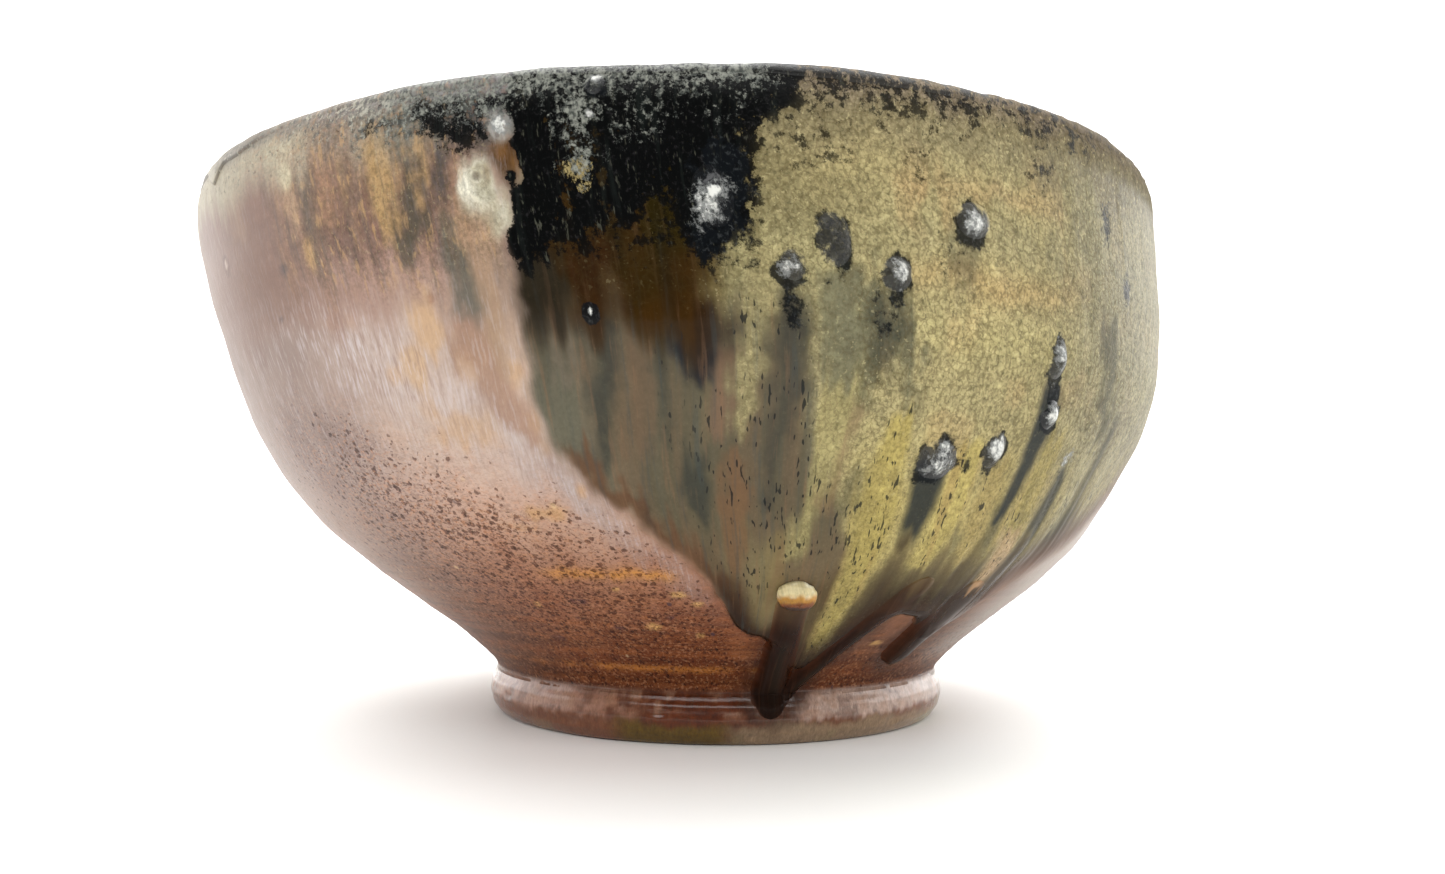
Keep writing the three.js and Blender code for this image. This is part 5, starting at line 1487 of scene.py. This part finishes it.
def run_shape(path, proud, rows=90, across=34, fillet=0.35):
    """A thick run down the wall along (angle, height, half width), as a patch with its skirt just under the surface;
    close_patch closes it.
    """
    p = np.array(path, float)
    sv = at(p[:, 1])
    order = np.argsort(sv)
    t = np.linspace(0, 1, rows)
    lo, hi = sv.min(), sv.max()
    s_line = lo + (hi - lo) * t
    th_line = np.interp(s_line, sv[order], p[order, 0])
    w_line = np.interp(s_line, sv[order], p[order, 2])
    pr_line = np.interp(s_line, sv[order], np.array(proud)[order])
    # smooth the line so that it bends like a liquid
    ker = np.hanning(15)
    ker /= ker.sum()

    def soft(v):
        return np.convolve(np.pad(v, 7, mode="edge"), ker, mode="valid")

    th_line, w_line, pr_line = soft(th_line), soft(w_line), soft(pr_line)
    u = np.linspace(-1.12, 1.12, across)
    T, U = np.meshgrid(s_line, u, indexing="ij")
    ends_lo = np.clip((s_line - lo) / np.maximum(w_line, 0.3), 0, 1)
    ends_hi = np.clip((hi - s_line) / np.maximum(w_line, 0.3), 0, 1)
    cap = np.sqrt(np.clip(1 - (1 - ends_lo) ** 2, 0.0025, 1)) * np.sqrt(np.clip(1 - (1 - ends_hi) ** 2, 0.0025, 1))
    half = (w_line * cap)[:, None]
    r = prof(T)[0]
    th = th_line[:, None] + np.degrees(U * half / r)
    q = np.abs(U)
    b = (pr_line * cap)[:, None] * np.clip(1 - np.clip(q, 0, 1) ** 2, 0, 1) ** 1.25 - 0.03 - 0.5 * smooth(0.98, 1.12, q)
    return th, T, b, q


def close_patch(th, s, b, g):
    """Closes a rectangular patch on the wall with an underside inside the clay."""
    top = place(th, s, g + b)
    bot = place(th, s, np.minimum(g + b, g) - 0.7)
    rr, cc = th.shape
    pts = np.concatenate([top.reshape(-1, 3), bot.reshape(-1, 3)])
    n = rr * cc
    faces = sheet_faces(rr, cc) + sheet_faces(rr, cc, first=n, flip=True)
    rim = [c for c in range(cc)] + [r * cc + cc - 1 for r in range(1, rr)] + [(rr - 1) * cc + c for c in range(cc - 2, -1, -1)] + [r * cc for r in range(rr - 2, 0, -1)]
    for a, b_ in zip(rim, rim[1:] + rim[:1]):
        faces.append([b_, a, a + n, b_ + n])
    tt = np.concatenate([th.reshape(-1)] * 2)
    ss = np.concatenate([s.reshape(-1)] * 2)
    return pts, outward(pts, faces), tt, ss


RUNS = {
    "glaze_run_wad": (((11.1, 18.0, 1.95), (11.3, 15.0, 1.85), (11.7, 11.4, 1.9), (12.0, 8.6, 2.1), (12.2, 6.4, 2.5), (12.0, 4.8, 2.3), (11.8, 3.0, 1.4)), (0.42, 0.38, 0.34, 0.34, 0.36, 0.36, 0.3)),
    "glaze_run_middle": (((29.8, 19.6, 2.4), (27.4, 16.8, 2.2), (24.2, 13.4, 1.75), (21.0, 10.2, 1.5), (17.8, 7.6, 1.5), (15.4, 6.0, 1.7), (14.4, 4.8, 1.2)), (-0.15, 0.1, 0.34, 0.42, 0.42, 0.35, 0.25)),
    "glaze_run_side": (((40.2, 19.0, 3.0), (39.2, 15.6, 2.9), (38.6, 12.6, 2.7), (38.2, 9.0, 2.4)), (-0.15, 0.15, 0.5, 0.55)),
}


def build_runs():
    for name, (path, proud) in RUNS.items():
        th, s, b, q = run_shape(path, proud)
        g = ground(th, s)
        # the glass levels itself over the lines in the clay
        win = np.hanning(17)
        win /= win.sum()
        even = np.stack([np.convolve(np.pad(g[:, c], 8, mode="edge"), win, mode="valid") for c in range(g.shape[1])], 1)
        even = np.maximum(even, 0.42 * smooth(at(3.2), at(6.5), s))
        w = smooth(0.45, 1.0, q)
        b = b + (even - g) * (1 - w)
        pts, faces, tt, ss = close_patch(th, s, b, g)
        base, m = paint(tt, ss)
        w1 = streaks(tt, ss, 1.2, 12, 801, 2)
        z = prof(ss)[1]
        side = np.concatenate([q.reshape(-1)] * 2)
        c = lay(np.zeros_like(base) + colour(38, 22, 14), colour(58, 36, 22), 0.6 * smooth(-0.1, 0.6, w1))
        c = lay(c, colour(30, 28, 22), 0.7 * smooth(0.5, 0.0, side) * smooth(0.0, 0.4, w1 + 0.2))
        c = lay(c, colour(24, 16, 13), 0.7 * smooth(7.5, 5.5, z))
        c = lay(c, colour(72, 42, 27), 0.75 * smooth(0.55, 1.0, side) * smooth(6, 8, z))
        upper = smooth(13.5, 16.5, z) if name != "glaze_run_wad" else 0.35 * smooth(13.5, 17.0, z)
        c = lay(c, base, np.clip(0.7 * smooth(0.7, 1.05, side) + upper, 0, 1))
        m = {k: v * 0.0 for k, v in m.items()}
        m["rough"] += 0.16
        m["streak"] += 0.15
        ob = make(name, pts, faces, tt, ss, (c, m))
        dress(ob, MAT_RUN, "run_glaze", name)


def build_wad():
    """A pale crumb of refractory, rounded on top, stained where the glaze ran off it."""
    th0, z0 = 11.05, 18.35
    s0 = float(at(z0))
    r0 = float(prof(s0)[0])
    n, k = 64, 44
    lat = np.linspace(-math.pi / 2, math.pi / 2, k)[1:-1]
    lon = np.linspace(0, 2 * math.pi, n, endpoint=False)
    LA, LO = np.meshgrid(lat, lon, indexing="ij")
    ux, uy, uz = np.cos(LA) * np.cos(LO), np.cos(LA) * np.sin(LO), np.sin(LA)
    lump = 1 + 0.10 * fbm(ux * 1.7, uy * 1.7, uz * 1.7, 901, 3)

    def sup(v, p):
        return np.sign(v) * np.abs(v) ** p

    x, y, h = 1.98 * sup(ux, 0.85) * lump, 1.65 * sup(uy, 0.9) * lump, 1.2 * sup(uz, 0.9) * lump
    th, s = th0 + np.degrees(x / r0), s0 + y
    g0 = float(ground(np.array([th0]), np.array([s0]))[0])
    pts = place(th, s, g0 + 0.62 + h)
    rr, cc = th.shape
    P = pts.reshape(-1, 3)
    faces = sheet_faces(rr, cc, wrap_cols=True)
    N0 = len(P)
    P = np.concatenate([P, place(np.array([th0]), np.array([s0]), np.array([g0 + 0.62 - 1.3])), place(np.array([th0]), np.array([s0]), np.array([g0 + 0.62 + 1.4]))])
    for c in range(cc):
        c2 = (c + 1) % cc
        faces.append([c, N0, c2])
        faces.append([(rr - 1) * cc + c, (rr - 1) * cc + c2, N0 + 1])
    tt = np.concatenate([th.reshape(-1), [th0, th0]])
    ss = np.concatenate([s.reshape(-1), [s0, s0]])
    hh = np.concatenate([h.reshape(-1), [-1.3, 1.35]])
    yy = np.concatenate([y.reshape(-1), [0, 0]])
    n1 = fbm(P[:, 0] / 0.7, P[:, 1] / 0.7, P[:, 2] / 0.7, 903, 3)
    up_ = 0.65 * yy - 0.76 * hh + 0.3 * n1
    base = np.zeros((len(P), 3)) + colour(204, 190, 146)
    base = lay(base, colour(226, 220, 192), smooth(0.0, 0.5, n1))
    base = lay(base, colour(172, 124, 54), smooth(0.3, -0.35, up_))
    base = lay(base, colour(122, 68, 34), smooth(-0.45, -0.85, up_))
    base = lay(base, colour(54, 32, 20), smooth(-0.9, -1.25, up_))
    base = lay(base, colour(92, 70, 50), 0.5 * smooth(-0.5, -1.0, hh))
    m = {q: np.zeros(len(P)) for q in MASKS}
    m["rough"] += 0.38
    m["grain"] += 1.6
    m["mottle"] += 0.35
    ob = make("wad", P, outward(P, faces), tt, ss, (base, m))
    dress(ob, MAT_WAD, "wad", "wad_lump")


build_body()
build_foot()
build_liner()
build_coat()
build_drips()
build_runs()
build_wad()


# ------------------------------------------------------------------------------------------------------------------
# floor, light and camera
# ------------------------------------------------------------------------------------------------------------------
def plain_material(name, rgb, rough):
    mat = bpy.data.materials.new(name)
    mat.use_nodes = True
    t = mat.node_tree
    b = t.nodes["Principled BSDF"]
    N = Nodes(t)
    co = t.nodes.new("ShaderNodeTexCoord")
    n = N.noise(co.outputs["Object"], 60.0, 3.0, 0.5)
    c = N.mix(np.array(rgb) * 0.985, np.array(rgb), n)
    t.links.new(c, b.inputs["Base Color"])
    b.inputs["Roughness"].default_value = rough
    b.inputs["Specular IOR Level"].default_value = 0.25
    return mat


def sweep():
    """A pale floor that curves up into a backdrop."""
    pts = [(-0.215, 0.0), (0.75, 0.0)]
    for k in range(1, 13):
        a = math.radians(90 * k / 12)
        pts.append((0.75 + 0.45 * math.sin(a), 0.45 - 0.45 * math.cos(a)))
    pts.append((1.2, 2.2))
    v, f = [], []
    for y, z in pts:
        v += [(-2.4, y, z), (2.4, y, z)]
    for i in range(len(pts) - 1):
        f.append((2 * i, 2 * i + 1, 2 * i + 3, 2 * i + 2))
    me = bpy.data.meshes.new("floor")
    me.from_pydata(v, [], f)
    me.polygons.foreach_set("use_smooth", np.ones(len(me.polygons), bool))
    ob = bpy.data.objects.new("floor", me)
    bpy.context.scene.collection.objects.link(ob)
    me.materials.append(plain_material("paper", (0.94, 0.94, 0.925), 0.6))


sweep()


def area(name, loc, target, size, power, colour_=(1, 1, 1)):
    d = bpy.data.lights.new(name, "AREA")
    d.shape = "RECTANGLE"
    d.size, d.size_y = size
    d.energy = power
    d.color = colour_
    o = bpy.data.objects.new(name, d)
    o.location = loc
    o.rotation_euler = (Vector(target) - Vector(loc)).to_track_quat("-Z", "Y").to_euler()
    bpy.context.scene.collection.objects.link(o)
    return o


area("top", (0.0, 0.15, 1.35), (0, 0.1, 0.0), (2.2, 1.8), 17)
area("front", (0.0, -0.95, 0.85), (0, 0, 0.03), (1.6, 0.45), 9.3)
area("left", (-1.0, 0.3, 0.3), (0, 0.05, 0.0), (1.2, 0.5), 4.9)
area("right", (1.0, 0.3, 0.3), (0, 0.05, 0.0), (1.2, 0.5), 6.8)
area("back", (0.0, 0.25, 1.5), (0, 1.2, 0.45), (2.4, 0.6), 30)

world = bpy.data.worlds.new("studio")
bpy.context.scene.world = world
world.use_nodes = True
world.node_tree.nodes["Background"].inputs[0].default_value = (1, 0.99, 0.97, 1)
world.node_tree.nodes["Background"].inputs[1].default_value = 0.3

bpy.context.scene.view_settings.view_transform = "Standard"
bpy.context.scene.view_settings.look = "None"

cam_data = bpy.data.cameras.new("camera")
cam_data.sensor_fit = "HORIZONTAL"
cam_data.sensor_width = 36.0
cam_data.lens = 1112.0 / 1445.0 * 36.0
cam_data.clip_start = 0.005
cam_data.clip_end = 20.0
cam = bpy.data.objects.new("camera", cam_data)
bpy.context.scene.collection.objects.link(cam)
eye = (np.array([0.548, -154.68, 25.29]) + FOOT) / 1000.0
cam.matrix_world = Matrix.Translation(Vector(eye.tolist())) @ Matrix.Rotation(math.pi / 2 + 0.0725, 4, "X") @ Matrix.Rotation(0.0104, 4, "Z")
bpy.context.scene.camera = cam
